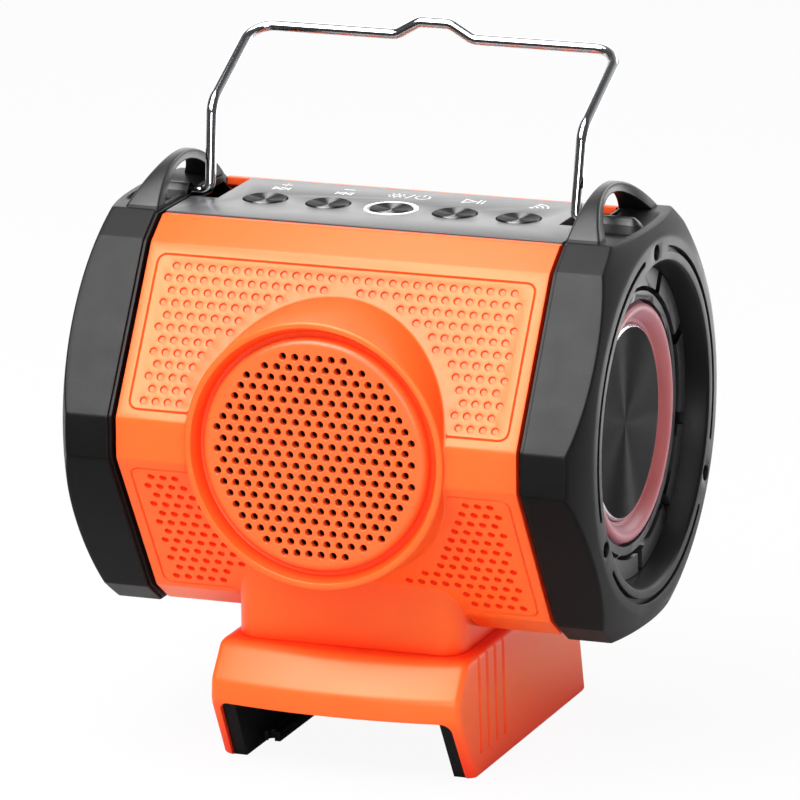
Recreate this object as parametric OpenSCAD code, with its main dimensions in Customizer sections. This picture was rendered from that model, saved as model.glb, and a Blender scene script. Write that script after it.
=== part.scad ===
// Job-site bluetooth speaker: a six-sided barrel on a battery foot, with a round speaker pod on the front,
// a passive radiator in each end cap, five push buttons on top and a folding wire handle.
// Millimetres, +Z up, front towards -Y, origin on the ground under the middle of the object.

/* [Barrel] */
// Length of the orange barrel between the end caps
barrel_len = 132.2; // [120:0.1:150]
// Height across the top and bottom flats
barrel_h = 124.6; // [118:0.1:136]
// Width across the front and rear waist bands
barrel_w = 137.8; // [130:0.1:150]
// Width of the top and bottom flats
crown_w = 56.2; // [54:0.1:64]
// Width across the lower edges of the shoulder bands
shoulder_w = 75.6; // [70:0.1:84]
// Drop of the shoulder bands below the top flat
shoulder_drop = 6.6; // [5:0.1:9]
// Height of the waist bands
waist_h = 13; // [9:0.1:18]
// Wall of the two shells
shell_t = 3; // [2.4:0.1:4]
// Height of the neck between barrel and foot
neck_h = 6.2; // [5:0.1:20]
// Width of the neck along the barrel
neck_w = 75.4; // [68:0.2:80]
// Reach of the neck before the barrel axis
neck_front = 45.5; // [40:0.1:46]
// Reach of the neck behind the barrel axis
neck_back = 31; // [29:0.1:40]
// Corner radius of the neck
neck_r = 8; // [5:0.5:14]

/* [Speaker pod] */
// Distance of the pod's lip from the barrel axis
pod_reach = 72.5; // [71:0.1:80]
// Outer radius of the drum
drum_r = 46; // [45:0.1:50]
// Wall of the drum inside the barrel
drum_t = 4; // [3:0.1:5]
// Outer radius of the lip
lip_r = 42; // [41.4:0.1:43.6]
// Width of the lip
lip_w = 1.5; // [1:0.1:2.2]
// Length of the bevel behind the lip
lip_bevel = 3.5; // [2:0.1:5]
// Radius of the raised grille disc
grille_r = 36; // [34.5:0.1:38]
// Depth of the grille's face behind the lip
grille_set = 3.3; // [2:0.1:4]
// Thickness of the grille
grille_t = 2.2; // [1.6:0.1:2.6]
// Distance between neighbouring grille holes
hole_pitch = 4; // [3.6:0.1:6]
// Diameter of a grille hole
hole_d = 2.15; // [1.6:0.05:2.6]
// Radius of the perforated field
field_r = 33.4; // [24:0.1:34]
// Depth of the shelf that carries the grille, behind the lip
shelf_set = 8.5; // [7.5:0.1:10]
// Thickness of the shelf between grille and driver
shelf_t = 3; // [2.6:0.1:4]
// Inner radius of the shelf
shelf_r = 34; // [33.6:0.1:34.6]

/* [End caps] */
// Reach of a cap's ring face beyond the barrel's end
cap_reach = 21.7; // [20:0.1:28]
// Open seam between barrel and cap
seam = 1.2; // [0.6:0.1:2]
// Height of the cap's flats above the barrel's flats
cap_proud = 1.2; // [0.4:0.1:3]
// Wall of the cap
cap_wall = 3.5; // [2.6:0.1:5]
// Width and height of the step round the cap's rim
rim_step = 1; // [0.4:0.1:2]
// Outer radius of the flat ring face
ring_r = 59; // [58.4:0.1:60]
// Radius of the rounded dome between ring face and flats
dome_r = 41; // [34:0.5:60]
// Slope of the dome where it leaves the ring face
dome_slope = 17; // [10:1:25]
// Radius of the mouth at the ring face
mouth_r = 51.5; // [50.5:0.1:52]
// Radius of the throat behind the mouth
throat_r = 49.5; // [49:0.1:50]
// Depth of the throat behind the ring face
throat_set = 6.8; // [5:0.1:8]
// Depth of the radiator's seat behind the ring face
seat_set = 10.8; // [10:0.1:12]
// Radius of the radiator's seat
seat_r = 52.5; // [52.2:0.1:52.8]
// Circle radius of the cap screws and of the arc slots
cap_screw_pcr = 55.3; // [55:0.1:56]
// Width of the arc slots
slot_w = 1.3; // [0.8:0.1:2]
// Depth of the arc slots
slot_depth = 1.5; // [0.8:0.1:2.5]
// Angle that each arc slot spans
slot_span = 96; // [60:1:104]

/* [Pivot guards] */
// Span of the guard arch, foot to foot
guard_span = 56; // [48:0.5:58]
// Rise of the arch above the cap's flat
guard_rise = 12.6; // [11.5:0.1:18]
// Thickness of the arch at its top
guard_t = 3.3; // [2.4:0.1:4]
// Span of the hole under the arch
guard_gap = 43; // [34:0.5:44]
// Length of the arch's foot along the barrel
guard_foot = 11.6; // [9:0.1:13]
// Length of the arch's top along the barrel
guard_top = 3.6; // [3:0.1:6]
// Depth of the hollow under the arch
hollow_depth = 2.2; // [1:0.1:3]
// Width of the hollow under the arch
hollow_w = 38; // [28:0.5:40]

/* [Handle] */
// Diameter of the wire
wire_d = 3.4; // [2.8:0.1:4]
// Height of the pivot above the barrel's top flat
pivot_lift = 1.1; // [0.8:0.1:3]
// Distance of each leg inside the barrel's end
leg_inset = 5; // [3.5:0.1:6]
// Height of the legs' bend above the pivot
leg_rise = 28; // [20:0.5:45]
// Lean of the legs at the bend
leg_lean = 4.5; // [0:0.1:8]
// Height of the crossbar above the pivot
bar_rise = 46; // [36:0.5:70]
// Distance of the crossbar behind the pivot
bar_back = 40; // [25:0.5:45]
// Width of the hump in the crossbar
hump_w = 26; // [20:0.5:40]
// Height of the hump in the crossbar
hump_h = 4.5; // [2:0.1:6]
// Length of each pivot end beyond the cap's rim
pivot_len = 13; // [10:0.1:14]
// Outer radius of the pivot boss
pivot_boss_r = 4; // [3.4:0.1:4.6]
// Length of the pivot boss
pivot_boss_len = 7; // [5:0.1:8]

/* [Passive radiators] */
// Radius of the moving disc
disc_r = 31; // [28:0.1:32]
// Thickness of the moving disc
disc_t = 3; // [2:0.1:4]
// Depth of the disc's face behind the ring face
disc_set = 9.8; // [9:0.1:11]
// Outer radius of the surround
surround_r = 38.7; // [36:0.1:39]
// Rubber thickness of both surrounds
rubber_t = 1; // [0.7:0.1:1.3]
// Thickness of the frame's flange
frame_flange = 3.4; // [2.6:0.1:4.5]
// Width of the frame's inner lip
frame_lip_w = 2.6; // [1.8:0.1:3]
// Inner radius of the notched segments
segment_r = 43; // [42.4:0.1:44]
// Rise of the notched segments
segment_rise = 3.6; // [2:0.1:5]
// Number of notches
notch_count = 10; // [6:2:16]
// Width of a notch
notch_w = 4; // [2:0.1:6]
// Angle of the first notch above the rearward direction
notch_start = 24; // [0:1:36]

/* [Controls] */
// Width of the control panel from front to back
panel_w = 51.2; // [46:0.1:53]
// Thickness of the control panel
panel_t = 2.4; // [2:0.1:3.2]
// Width of the ledges that carry the panel
ledge_w = 3.8; // [2.5:0.1:5]
// Thickness of the ledges
ledge_t = 3; // [2:0.1:4]
// Length of the handle notches at the panel's ends
notch_len = 9.1; // [8:0.1:10]
// Distance of the notch's front edge before the pivot
notch_lead = 4; // [3.2:0.1:6]
// Depth of the handle notch below the panel's top
notch_depth = 3.4; // [3.2:0.1:4.4]
// Diameter of a button
button_d = 13.9; // [10:0.1:15]
// Distance between neighbouring buttons
button_pitch = 21.2; // [20.6:0.1:23]
// Height of a button above the panel
button_proud = 0.5; // [0.3:0.1:1.5]
// Travel of a button
button_travel = 0.8; // [0.4:0.1:1.2]
// Width of the light ring round the middle button
ring_w = 1.5; // [1:0.1:2]
// Depth of the control board's top below the panel's top
board_set = 11.3; // [11:0.1:13]
// Thickness of both circuit boards
board_t = 1.6; // [1:0.1:2]
// Side of a tact switch
switch_w = 6; // [4:0.1:7]
// Height of a tact switch without its plunger
switch_h = 3.4; // [2.6:0.1:3.6]

/* [Driver] */
// Outer radius of the basket
basket_r = 38.9; // [38.6:0.1:39.2]
// Depth of the basket behind its flange
basket_depth = 18.7; // [16:0.1:22]
// Outer radius of the magnet
magnet_r = 26; // [22:0.1:30]
// Length of the magnet
magnet_len = 17.5; // [14:0.1:22]
// Radius of the cone
cone_r = 27; // [25:0.1:28]
// Radius of the voice coil
coil_r = 9.9; // [8:0.1:11]
// Circle radius of the driver screws
driver_screw_pcr = 37; // [36.9:0.05:37.1]

/* [Battery foot] */
// Height of the foot
base_h = 39.5; // [38:0.5:48]
// Width of the foot on the ground
base_w = 84.8; // [84:0.2:92]
// Width of the foot's top
base_top_w = 82.8; // [82:0.2:84]
// Reach of the foot before the barrel axis
base_front = 58.4; // [58:0.1:62]
// Radius of the foot's bowed front, seen from above
bow_r = 200; // [180:1:260]
// Reach of the foot behind the barrel axis
base_back = 64; // [60:0.5:68]
// Setback of the front edge on the ground
front_lean = 12.3; // [8:0.1:14]
// Setback of the foot's top edge in front
top_setback = 8.3; // [6:0.1:8.6]
// Setback of the foot's top edge at the back
rear_setback = 7; // [2:0.1:8]
// Height of the sloping shoulder round the top
top_slope_h = 11.5; // [8:0.1:14]
// Height of the battery channel
channel_h = 21; // [18:0.1:22]
// Wall of the foot
base_wall = 3.2; // [2.8:0.1:3.4]
// Thickness of the foot's top plate
base_top_t = 3.4; // [3.4:0.1:4]
// Upright radius of the foot's rear corners
base_corner_r = 4; // [3:0.5:6]
// Number of upright grooves on each side
groove_count = 4; // [2:1:6]
// Distance between neighbouring grooves
groove_pitch = 7.3; // [5:0.1:8]
// Width of a groove
groove_w = 2.2; // [1:0.1:3]
// Depth of a groove
groove_depth = 1.1; // [0.4:0.1:1.2]
// Height of the grooves' lower ends above the ground
groove_z = 6.6; // [4:0.2:14]
// Thickness of the cradle's side walls
cradle_wall = 4.3; // [3:0.1:5.5]
// Thickness of the cradle's top plate
cradle_t = 4; // [3.6:0.1:5]
// Reach of a battery rail into the channel
rail_reach = 5.4; // [4:0.1:6]
// Height of a battery rail's underside above the ground
rail_z = 0.6; // [0.4:0.1:1.2]
// Thickness of a battery rail
rail_t = 3; // [2:0.1:4]
// Width of the terminal block
block_w = 48; // [40:0.5:54]
// Distance between neighbouring terminal blades
blade_pitch = 10; // [8:0.1:12]

/* [Fasteners] */
// Radius of the large screws' shanks
screw_r = 1.4; // [1.2:0.05:1.5]
// Radius of the large screws' heads
head_r = 2.35; // [2.1:0.05:2.4]
// Height of a screw head
head_h = 2.2; // [1.6:0.1:2.4]
// Radius of the small screws' shanks
small_screw_r = 1; // [0.8:0.05:1.1]
// Radius of the small screws' heads
small_head_r = 1.85; // [1.6:0.05:1.9]
// Wall of a screw boss round its bore
boss_wall = 2.7; // [2.2:0.1:3]

/* [Clearances] */
// Fit between fixed pieces
fit = 0.15; // [0.1:0.05:0.3]
// Gap round moving pieces
gap = 0.3; // [0.25:0.05:0.4]
// Radial running clearance of the handle's pivots
run = 0.05; // [0.02:0.01:0.1]
// Radial clearance of a screw in its threaded bore
thread_fit = 0.05; // [0.03:0.01:0.08]
// Radial clearance of a screw in a plain hole
pass_fit = 0.2; // [0.15:0.05:0.3]

/* [Hidden] */
$fn = 64;
eps = 0.5;
half_len = barrel_len / 2;
half_h = barrel_h / 2;
half_w = barrel_w / 2;
axis_h = base_h + neck_h + half_h;
axis_y = (pod_reach - half_w - cap_proud) / 2;
far = 2 * (barrel_w + barrel_len);

cap_x0 = half_len + seam;
ring_x = half_len + cap_reach;
seat_x = ring_x - seat_set;
throat_x = ring_x - throat_set;
cap_top = half_h + cap_proud;
cap_angles = [90, 210, 330];
cap_head_x = throat_x - eps;
cap_screw_len = cap_head_x - half_len + 11;

pivot_z = half_h + pivot_lift;
wire_r = wire_d / 2;
leg_x = half_len - leg_inset;
notch_x = half_len - notch_len;

panel_z = half_h - panel_t;
board_z = half_h - board_set;
ledge_y = panel_w / 2 - ledge_w;
button_r = button_d / 2;
button_xs = [for (i = [-2:2]) i * button_pitch];
flange_t = 1.4;
flange_r = button_r + 1.2;
ring_in_r = button_r + gap;
ring_out_r = ring_in_r + ring_w;
plunger_h = 0.7;
stem_z = board_z + switch_h + plunger_h + button_travel + 0.15;
post_x = 1.5 * button_pitch;
post_y = panel_w / 2 - ledge_w - 7.5;

shelf_h = pod_reach - shelf_set;
shelf_back = shelf_h - shelf_t;
gasket_t = 0.8;
flange_h = shelf_back - gasket_t;
basket_t = 1.5;
basket_back = flange_h - basket_depth;
magnet_back = basket_back - magnet_len;
roll_h = flange_h - basket_t + 0.1;

shell_screw_x = half_len - 8;
shell_screw_z = half_h - 18;
neck_screw_x = neck_w / 2 - 9;
neck_screw_ys = [-neck_front + 10, neck_back - 10];
wire_hole_y = 15;
wire_hole_r = 8;

main_z = -half_h + shell_t + 9.3;
main_x = 48;
main_post_x = 42;
main_post_ys = [4.5, 22];

cradle_z = channel_h + fit;
cradle_screw_x = base_top_w / 2 - 9;
cradle_screw_ys = [-base_front + 34, base_back - 12];
block_y = base_back - 30;
block_z = channel_h - 13;
cradle_back = base_back - rear_setback * (cradle_z + cradle_t) / base_h - base_wall - 3 * fit;
block_back = cradle_back - 1;
lead_y = (block_y + block_back) / 2;
bow_sag = base_w * base_w / bow_r / 8;
leg_front = -base_front + bow_sag;
hollow_front = leg_front + 1.2 * base_wall;

function mod(i, n) = i - n * floor(i / n);
function unit(v) = v / norm(v);
function side_normal(a, b) = unit([b.y - a.y, a.x - b.x]);
function grown(pts, g) = [for (i = [0:len(pts) - 1])
    let (a = pts[mod(i - 1, len(pts))], b = pts[i], c = pts[mod(i + 1, len(pts))],
         n = side_normal(a, b), m = side_normal(b, c)) b + (n + m) * g / (1 + n * m)];
function mirrored(pts) = concat(pts, [for (i = [len(pts) - 1:-1:0]) [-pts[i].x, pts[i].y]]);
function polar(r, a) = [r * cos(a), r * sin(a)];

// Barrel section, seen along the barrel, as (depth, height) points
function upper_right() = [[half_w, waist_h / 2], [shoulder_w / 2, half_h - shoulder_drop], [crown_w / 2, half_h]];
function section(g) = let (q = upper_right()) grown(concat(
    q, [for (i = [2:-1:0]) [-q[i].x, q[i].y]], [for (p = q) -p], [for (i = [2:-1:0]) [q[i].x, -q[i].y]]), g);

// Foot outlines: front view as (width, height), rear half of the side view as (depth, height),
// bowed front as (radius, height) round an upright axis far behind the foot
function base_front_view() = mirrored([[base_w / 2, 0], [base_top_w / 2, base_h]]);
function base_rear_view() = [[-far, 0], [base_back, 0], [base_back - rear_setback, base_h], [-far, base_h]];
function base_bow_view(wall) = [[0, 0], [bow_r - front_lean - wall, 0], [bow_r - wall, channel_h],
    [bow_r - wall, base_h - top_slope_h], [bow_r - top_setback - wall, base_h], [0, base_h]];

// Half width of the channel's inner wall at a height above the ground
function channel_x(z) = base_w / 2 - base_wall - (base_w - base_top_w) / 2 * z / base_h;

module in_barrel() { translate([0, axis_y, axis_h]) children(); }
module on_ground() { translate([0, axis_y, 0]) children(); }
module prism_x(x0, x1) { translate([x0, 0, 0]) rotate([90, 0, 90]) linear_extrude(x1 - x0) children(); }
module prism_y(y0, y1) { translate([0, y1, 0]) rotate([90, 0, 0]) linear_extrude(y1 - y0) children(); }
module rod_x(x0, x1, r) { translate([x0, 0, 0]) rotate([0, 90, 0]) cylinder(h = x1 - x0, r = r); }
module rod_y(y0, y1, r) { translate([0, y1, 0]) rotate([90, 0, 0]) cylinder(h = y1 - y0, r = r); }
module rod_z(z0, z1, r) { translate([0, 0, z0]) cylinder(h = z1 - z0, r = r); }
module turned_x() { rotate([0, 90, 0]) rotate_extrude() children(); }
module turned_front() { rotate([90, 0, 0]) rotate_extrude() children(); }
module box(a, b) { translate(a) cube(b - a); }
module both_ends() { children(); mirror([1, 0, 0]) children(); }
module round_rect(w, d, r) {
    square([w - 2 * r, d], center = true);
    square([w, d - 2 * r], center = true);
    for (x = [-1, 1], y = [-1, 1]) translate([x * (w / 2 - r), y * (d / 2 - r)]) circle(r);
}

// Round wire along a list of points, with a bend radius for each inner point
function bend_dir(path, i) = unit(path[i + 1] - path[i]);
function bend_points(path, bends, i, steps) =
    let (a = bend_dir(path, i - 1), b = bend_dir(path, i), n = unit(b - a * (a * b)), turn = acos(a * b),
         r = bends[i - 1], c = path[i] - a * r * tan(turn / 2) + n * r)
    [for (k = [0:steps]) c - n * r * cos(turn * k / steps) + a * r * sin(turn * k / steps)];
function wire_points(path, bends, steps) = concat([path[0]],
    [for (i = [1:len(path) - 2]) each bend_points(path, bends, i, steps)], [path[len(path) - 1]]);
function tangents(pts) = [for (i = [0:len(pts) - 1])
    unit(pts[min(i + 1, len(pts) - 1)] - pts[max(i - 1, 0)])];
function carried(ts, i, v) = i == len(ts) ? [] :
    let (w = unit(v - ts[i] * (v * ts[i]))) concat([w], carried(ts, i + 1, w));
module bent_wire(path, bends, r, sides, steps) {
    pts = wire_points(path, bends, steps);
    ts = tangents(pts);
    ws = carried(ts, 0, unit(cross(ts[0], abs(ts[0].z) < 0.9 ? [0, 0, 1] : [1, 0, 0])));
    last = len(pts) - 1;
    polyhedron(
        points = [for (i = [0:last], k = [0:sides - 1])
            pts[i] + r * (cos(360 * k / sides) * ws[i] + sin(360 * k / sides) * cross(ts[i], ws[i]))],
        faces = concat([[for (k = [0:sides - 1]) k]], [[for (k = [sides - 1:-1:0]) last * sides + k]],
            [for (i = [0:last - 1], k = [0:sides - 1]) let (m = mod(k + 1, sides))
                [i * sides + k, (i + 1) * sides + k, (i + 1) * sides + m]],
            [for (i = [0:last - 1], k = [0:sides - 1]) let (m = mod(k + 1, sides))
                [i * sides + k, (i + 1) * sides + m, i * sides + m]]));
}

// Shells
module half_space(front) {
    if (front) box([-far, -far, -far], [far, 0, far]);
    else box([-far, 0, -far], [far, far, far]);
}
module neck_block(inset, below) {
    translate([0, (neck_back - neck_front) / 2, base_h - axis_h - below])
        linear_extrude(axis_h - base_h - waist_h + below)
            round_rect(neck_w - 2 * inset, neck_front + neck_back - 2 * inset, neck_r - inset);
}
module shell_skin(front) {
    difference() {
        intersection() {
            union() {
                prism_x(-half_len, half_len) polygon(section(0));
                neck_block(0, 0);
            }
            half_space(front);
        }
        prism_x(-far, far) polygon(section(-shell_t));
        difference() {
            neck_block(shell_t, eps);
            prism_x(-half_len, half_len) polygon(section(0));
        }
        box([-far, -panel_w / 2, 0], [far, panel_w / 2, far]);
    }
}
module panel_ledge(front) {
    y = front ? -1 : 1;
    intersection() {
        translate([-half_len, y > 0 ? ledge_y : -panel_w / 2 - shell_t, panel_z - ledge_t])
            cube([barrel_len, ledge_w + shell_t, ledge_t]);
        prism_x(-half_len, half_len) polygon(section(-shell_t / 2));
    }
}
module shell_boss(front) {
    intersection() {
        for (x = [-1, 1], z = [-1, 1]) translate([x * shell_screw_x, 0, z * shell_screw_z])
            rod_y(front ? -half_w : 0, front ? 0 : half_w, head_r + boss_wall);
        prism_x(-half_len, half_len) polygon(section(-shell_t / 2));
    }
}
module cap_boss(angle, reach) {
    intersection() {
        both_ends() rotate([angle - 90, 0, 0]) translate([0, 0, cap_screw_pcr]) {
            rod_x(half_len - 12, half_len, screw_r + boss_wall - 0.6);
            box([half_len - 12, -boss_wall / 2, 0], [half_len, boss_wall / 2, reach - cap_screw_pcr]);
        }
        prism_x(-half_len, half_len) polygon(section(-shell_t / 2));
    }
}
module neck_boss(front) {
    for (x = [-1, 1]) translate([x * neck_screw_x, neck_screw_ys[front ? 0 : 1], 0])
        rod_z(base_h - axis_h, -half_h + shoulder_drop, screw_r + boss_wall);
}
module shell_bores(front) {
    for (x = [-1, 1], z = [-1, 1]) translate([x * shell_screw_x, 0, z * shell_screw_z]) {
        if (front) rod_y(-14, eps, screw_r + thread_fit);
        else {
            rod_y(-eps, far, screw_r + pass_fit);
            rod_y(14, far, head_r + 2 * pass_fit);
        }
    }
    for (a = cap_angles) both_ends() rotate([a - 90, 0, 0]) translate([0, 0, cap_screw_pcr])
        rod_x(half_len - 11.5, far, screw_r + thread_fit);
    for (x = [-1, 1]) translate([x * neck_screw_x, neck_screw_ys[front ? 0 : 1], 0])
        rod_z(base_h - axis_h - eps, base_h - axis_h + neck_h + eps, screw_r + thread_fit);
}
module drum() {
    turned_front() polygon([[drum_r, basket_back], [drum_r, pod_reach - 3 * lip_bevel],
        [drum_r - lip_w, pod_reach - lip_bevel], [lip_r, pod_reach], [lip_r - lip_w, pod_reach],
        [lip_r - lip_w, shelf_h], [shelf_r, shelf_h], [shelf_r, shelf_back], [basket_r + gap, shelf_back],
        [basket_r + gap, shelf_back - 4], [drum_r - drum_t, shelf_back - 4], [drum_r - drum_t, basket_back]]);
}
module front_shell() {
    color("#F36A2B") in_barrel() difference() {
        union() {
            difference() {
                shell_skin(true);
                rod_y(-far, -basket_back, drum_r - drum_t / 2);
            }
            drum();
            panel_ledge(true);
            difference() {
                union() { shell_boss(true); cap_boss(cap_angles[1], half_w); }
                rod_y(-far, -basket_back + eps, drum_r - drum_t / 2);
            }
            neck_boss(true);
        }
        shell_bores(true);
        for (a = [45:90:315]) rotate([0, a, 0]) translate([driver_screw_pcr, 0, 0])
            rod_y(-shelf_h + 0.4, 0, small_screw_r + thread_fit);
    }
}
module notch_floor() {
    both_ends() box([notch_x - 1.5, -notch_lead - 1.5, half_h - notch_depth - ledge_t],
        [half_len, ledge_y + ledge_w + eps, half_h - notch_depth]);
}
module rear_shell() {
    color("#F36A2B") in_barrel() difference() {
        union() {
            shell_skin(false);
            panel_ledge(false);
            shell_boss(false);
            cap_boss(cap_angles[2], half_w);
            cap_boss(cap_angles[0], half_h - notch_depth);
            notch_floor();
            neck_boss(false);
            for (x = [-1, 1], y = main_post_ys) translate([x * main_post_x, y, 0])
                rod_z(-half_h + shell_t / 2, main_z, small_screw_r + 2);
        }
        shell_bores(false);
        translate([0, wire_hole_y, 0]) rod_z(-half_h - eps, -half_h + shell_t + eps, wire_hole_r);
        for (x = [-1, 1], y = main_post_ys) translate([x * main_post_x, y, 0])
            rod_z(main_z - 7, main_z + eps, small_screw_r + thread_fit);
    }
}

// End caps
function dome_x(r) = let (cr = ring_r - dome_r * sin(dome_slope), cx = ring_x - dome_r * cos(dome_slope))
    cx + sqrt(pow(dome_r, 2) - pow(r - cr, 2));
module cap_dome() {
    r_max = half_w + 2 * cap_proud + 4;
    steps = 6;
    turned_x() polygon(concat([[0, cap_x0], [r_max, cap_x0]],
        [for (i = [steps:-1:0]) let (r = ring_r + (r_max - ring_r) * i / steps) [r, dome_x(r)]], [[0, ring_x]]));
}
function arc_radius(span, rise) = (pow(span / 2, 2) + pow(rise, 2)) / (2 * rise);
module guard_arch() {
    outer = arc_radius(guard_span, guard_rise);
    inner = arc_radius(guard_gap, guard_rise - guard_t);
    top = cap_top + guard_rise;
    mid = cap_x0 + eps + guard_foot * 0.3;
    intersection() {
        prism_x(cap_x0, cap_x0 + guard_foot + 2) difference() {
            intersection() {
                translate([0, top - outer]) circle(outer, $fn = 128);
                translate([-guard_span, cap_top - cap_wall]) square([2 * guard_span, guard_rise + 2 * cap_wall]);
            }
            translate([0, top - guard_t - inner]) circle(inner, $fn = 128);
        }
        prism_y(-guard_span, guard_span) polygon([[cap_x0, cap_top - cap_wall],
            [cap_x0 + guard_foot, cap_top - cap_wall], [cap_x0 + guard_foot, cap_top],
            [mid + guard_top / 2, top], [mid - guard_top / 2, top], [cap_x0, cap_top]]);
    }
}
module cap() {
    hollow = arc_radius(hollow_w, hollow_depth);
    difference() {
        union() {
            difference() {
                intersection() {
                    union() {
                        prism_x(cap_x0, cap_x0 + rim_step + eps) polygon(section(cap_proud - rim_step));
                        prism_x(cap_x0 + rim_step, ring_x) polygon(section(cap_proud));
                    }
                    cap_dome();
                }
                prism_x(cap_x0 - eps, seat_x - cap_wall) polygon(section(cap_proud - rim_step - cap_wall));
                turned_x() polygon([[0, cap_x0 - eps], [seat_r, cap_x0 - eps], [seat_r, seat_x],
                    [throat_r, seat_x], [throat_r, throat_x], [mouth_r, ring_x], [mouth_r, ring_x + eps],
                    [0, ring_x + eps]]);
                translate([0, 0, cap_top - hollow_depth + hollow])
                    rod_x(cap_x0 + 2, ring_x - 4.8, hollow);
            }
            guard_arch();
            for (a = cap_angles) rotate([a - 90, 0, 0]) translate([0, 0, cap_screw_pcr]) {
                rod_x(half_len, seat_x, screw_r + pass_fit + 1.2);
            }
            translate([0, 0, pivot_z]) rod_x(cap_x0, cap_x0 + pivot_boss_len, pivot_boss_r);
        }
        translate([0, 0, pivot_z]) {
            rod_x(cap_x0 - eps, cap_x0 + pivot_boss_len + eps, wire_r + run);
            rod_x(cap_x0 + pivot_boss_len, cap_x0 + pivot_len + 2, wire_r + 2 * gap);
        }
        for (a = cap_angles) rotate([a - 90, 0, 0]) translate([0, 0, cap_screw_pcr]) {
            rod_x(half_len - eps, far, screw_r + pass_fit);
            rod_x(cap_head_x, far, head_r + pass_fit);
        }
        for (a = cap_angles) rotate([a - 60 - 90, 0, 0]) rotate([0, 90, 0]) rotate([0, 0, 180 - slot_span / 2])
            rotate_extrude(angle = slot_span) translate([cap_screw_pcr - slot_w / 2, ring_x - slot_depth])
                square([slot_w, slot_depth + eps]);
    }
}
module right_end_cap() { color("#2B2C2E") in_barrel() cap(); }
module left_end_cap() { color("#2B2C2E") in_barrel() mirror([1, 0, 0]) cap(); }
module cap_screws() {
    color("#3A3A3C") in_barrel() both_ends() for (a = cap_angles)
        rotate([a - 90, 0, 0]) translate([0, 0, cap_screw_pcr]) {
            rod_x(cap_head_x - cap_screw_len, cap_head_x, screw_r);
            rod_x(cap_head_x, cap_head_x + head_h, head_r);
        }
}

// Passive radiators
module radiator_frame() {
    bore = surround_r + fit;
    lip = bore + frame_lip_w;
    difference() {
        turned_x() polygon([[bore, seat_x - frame_flange], [seat_r - fit, seat_x - frame_flange],
            [seat_r - fit, seat_x], [throat_r - gap, seat_x], [throat_r - gap, seat_x + segment_rise],
            [segment_r, seat_x + segment_rise], [segment_r, seat_x + eps], [lip, seat_x + eps],
            [lip, seat_x + segment_rise - 0.6], [bore, seat_x + segment_rise - 0.6]]);
        for (i = [0:notch_count - 1]) rotate([notch_start + i * 360 / notch_count, 0, 0])
            box([seat_x + eps, segment_r - eps, -notch_w / 2], [ring_x, throat_r, notch_w / 2]);
    }
}
module half_roll(r_in, r_out, base, t) {
    r = (r_out - r_in) / 2;
    translate([(r_in + r_out) / 2, base]) intersection() {
        difference() { circle(r); circle(r - t); }
        translate([-r, 0]) square([2 * r, r]);
    }
}
module radiator_surround() { turned_x() half_roll(disc_r + gap, surround_r, ring_x - disc_set - 0.6, rubber_t); }
module radiator_disc() {
    x = ring_x - disc_set;
    difference() {
        rod_x(x - disc_t, x, disc_r);
        rod_x(x - disc_t - eps, x - disc_t / 2, disc_r - 1.5);
    }
}
module right_radiator_frame() { color("#1F2022") in_barrel() radiator_frame(); }
module left_radiator_frame() { color("#1F2022") in_barrel() mirror([1, 0, 0]) radiator_frame(); }
module right_radiator_surround() { color("#B0413E") in_barrel() radiator_surround(); }
module left_radiator_surround() { color("#B0413E") in_barrel() mirror([1, 0, 0]) radiator_surround(); }
module right_radiator_disc() { color("#55575A") in_barrel() radiator_disc(); }
module left_radiator_disc() { color("#55575A") in_barrel() mirror([1, 0, 0]) radiator_disc(); }

// Speaker pod
module speaker_grille() {
    face = pod_reach - grille_set;
    row = hole_pitch * sqrt(3) / 2;
    rows = floor(field_r / row);
    columns = ceil(field_r / hole_pitch);
    color("#F36A2B") in_barrel() difference() {
        turned_front() polygon([[0, face - grille_t], [grille_r - 1.5, face - grille_t], [grille_r - 1.5, shelf_h],
            [lip_r - lip_w - fit, shelf_h], [lip_r - lip_w - fit, shelf_h + 2], [grille_r, shelf_h + 2],
            [grille_r, face], [0, face]]);
        for (j = [-rows:rows], i = [-columns:columns])
            let (x = (i + mod(j, 2) / 2) * hole_pitch, z = j * row)
                if (norm([x, z]) <= field_r) translate([x, 0, z]) rod_y(-pod_reach, -shelf_h, hole_d / 2);
    }
}
module driver_gasket() {
    color("#1A1A1A") in_barrel() difference() {
        rod_y(-shelf_back, -flange_h, basket_r);
        rod_y(-far, 0, shelf_r);
        for (a = [45:90:315]) rotate([0, a, 0]) translate([driver_screw_pcr, 0, 0])
            rod_y(-far, 0, small_screw_r + pass_fit);
    }
}
module driver_basket() {
    neck = coil_r + 2.1;
    inner = cone_r + 6.2;
    color("#2E2F31") in_barrel() difference() {
        turned_front() polygon([[inner, flange_h], [basket_r, flange_h], [basket_r, flange_h - basket_t],
            [inner + basket_t, flange_h - basket_t], [magnet_r - 1, basket_back], [neck, basket_back],
            [neck, basket_back + basket_t], [magnet_r - 2, basket_back + basket_t], [inner, flange_h - 2 * basket_t]]);
        for (a = [45:90:315]) rotate([0, a, 0]) {
            translate([driver_screw_pcr, 0, 0]) rod_y(-far, 0, small_screw_r + pass_fit);
            translate([magnet_r + 3.5, 0, 0]) rod_y(-flange_h + 2 * basket_t + 2, -basket_back - 3 * basket_t, 6);
        }
    }
}
module driver_magnet() {
    pole = coil_r - 1.3;
    color("#4A4B4E") in_barrel() turned_front() polygon([[0, magnet_back], [magnet_r, magnet_back],
        [magnet_r, basket_back], [coil_r + 1.1, basket_back], [coil_r + 1.1, magnet_back + 4],
        [pole, magnet_back + 4], [pole, basket_back + basket_t], [0, basket_back + basket_t]]);
}
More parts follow.
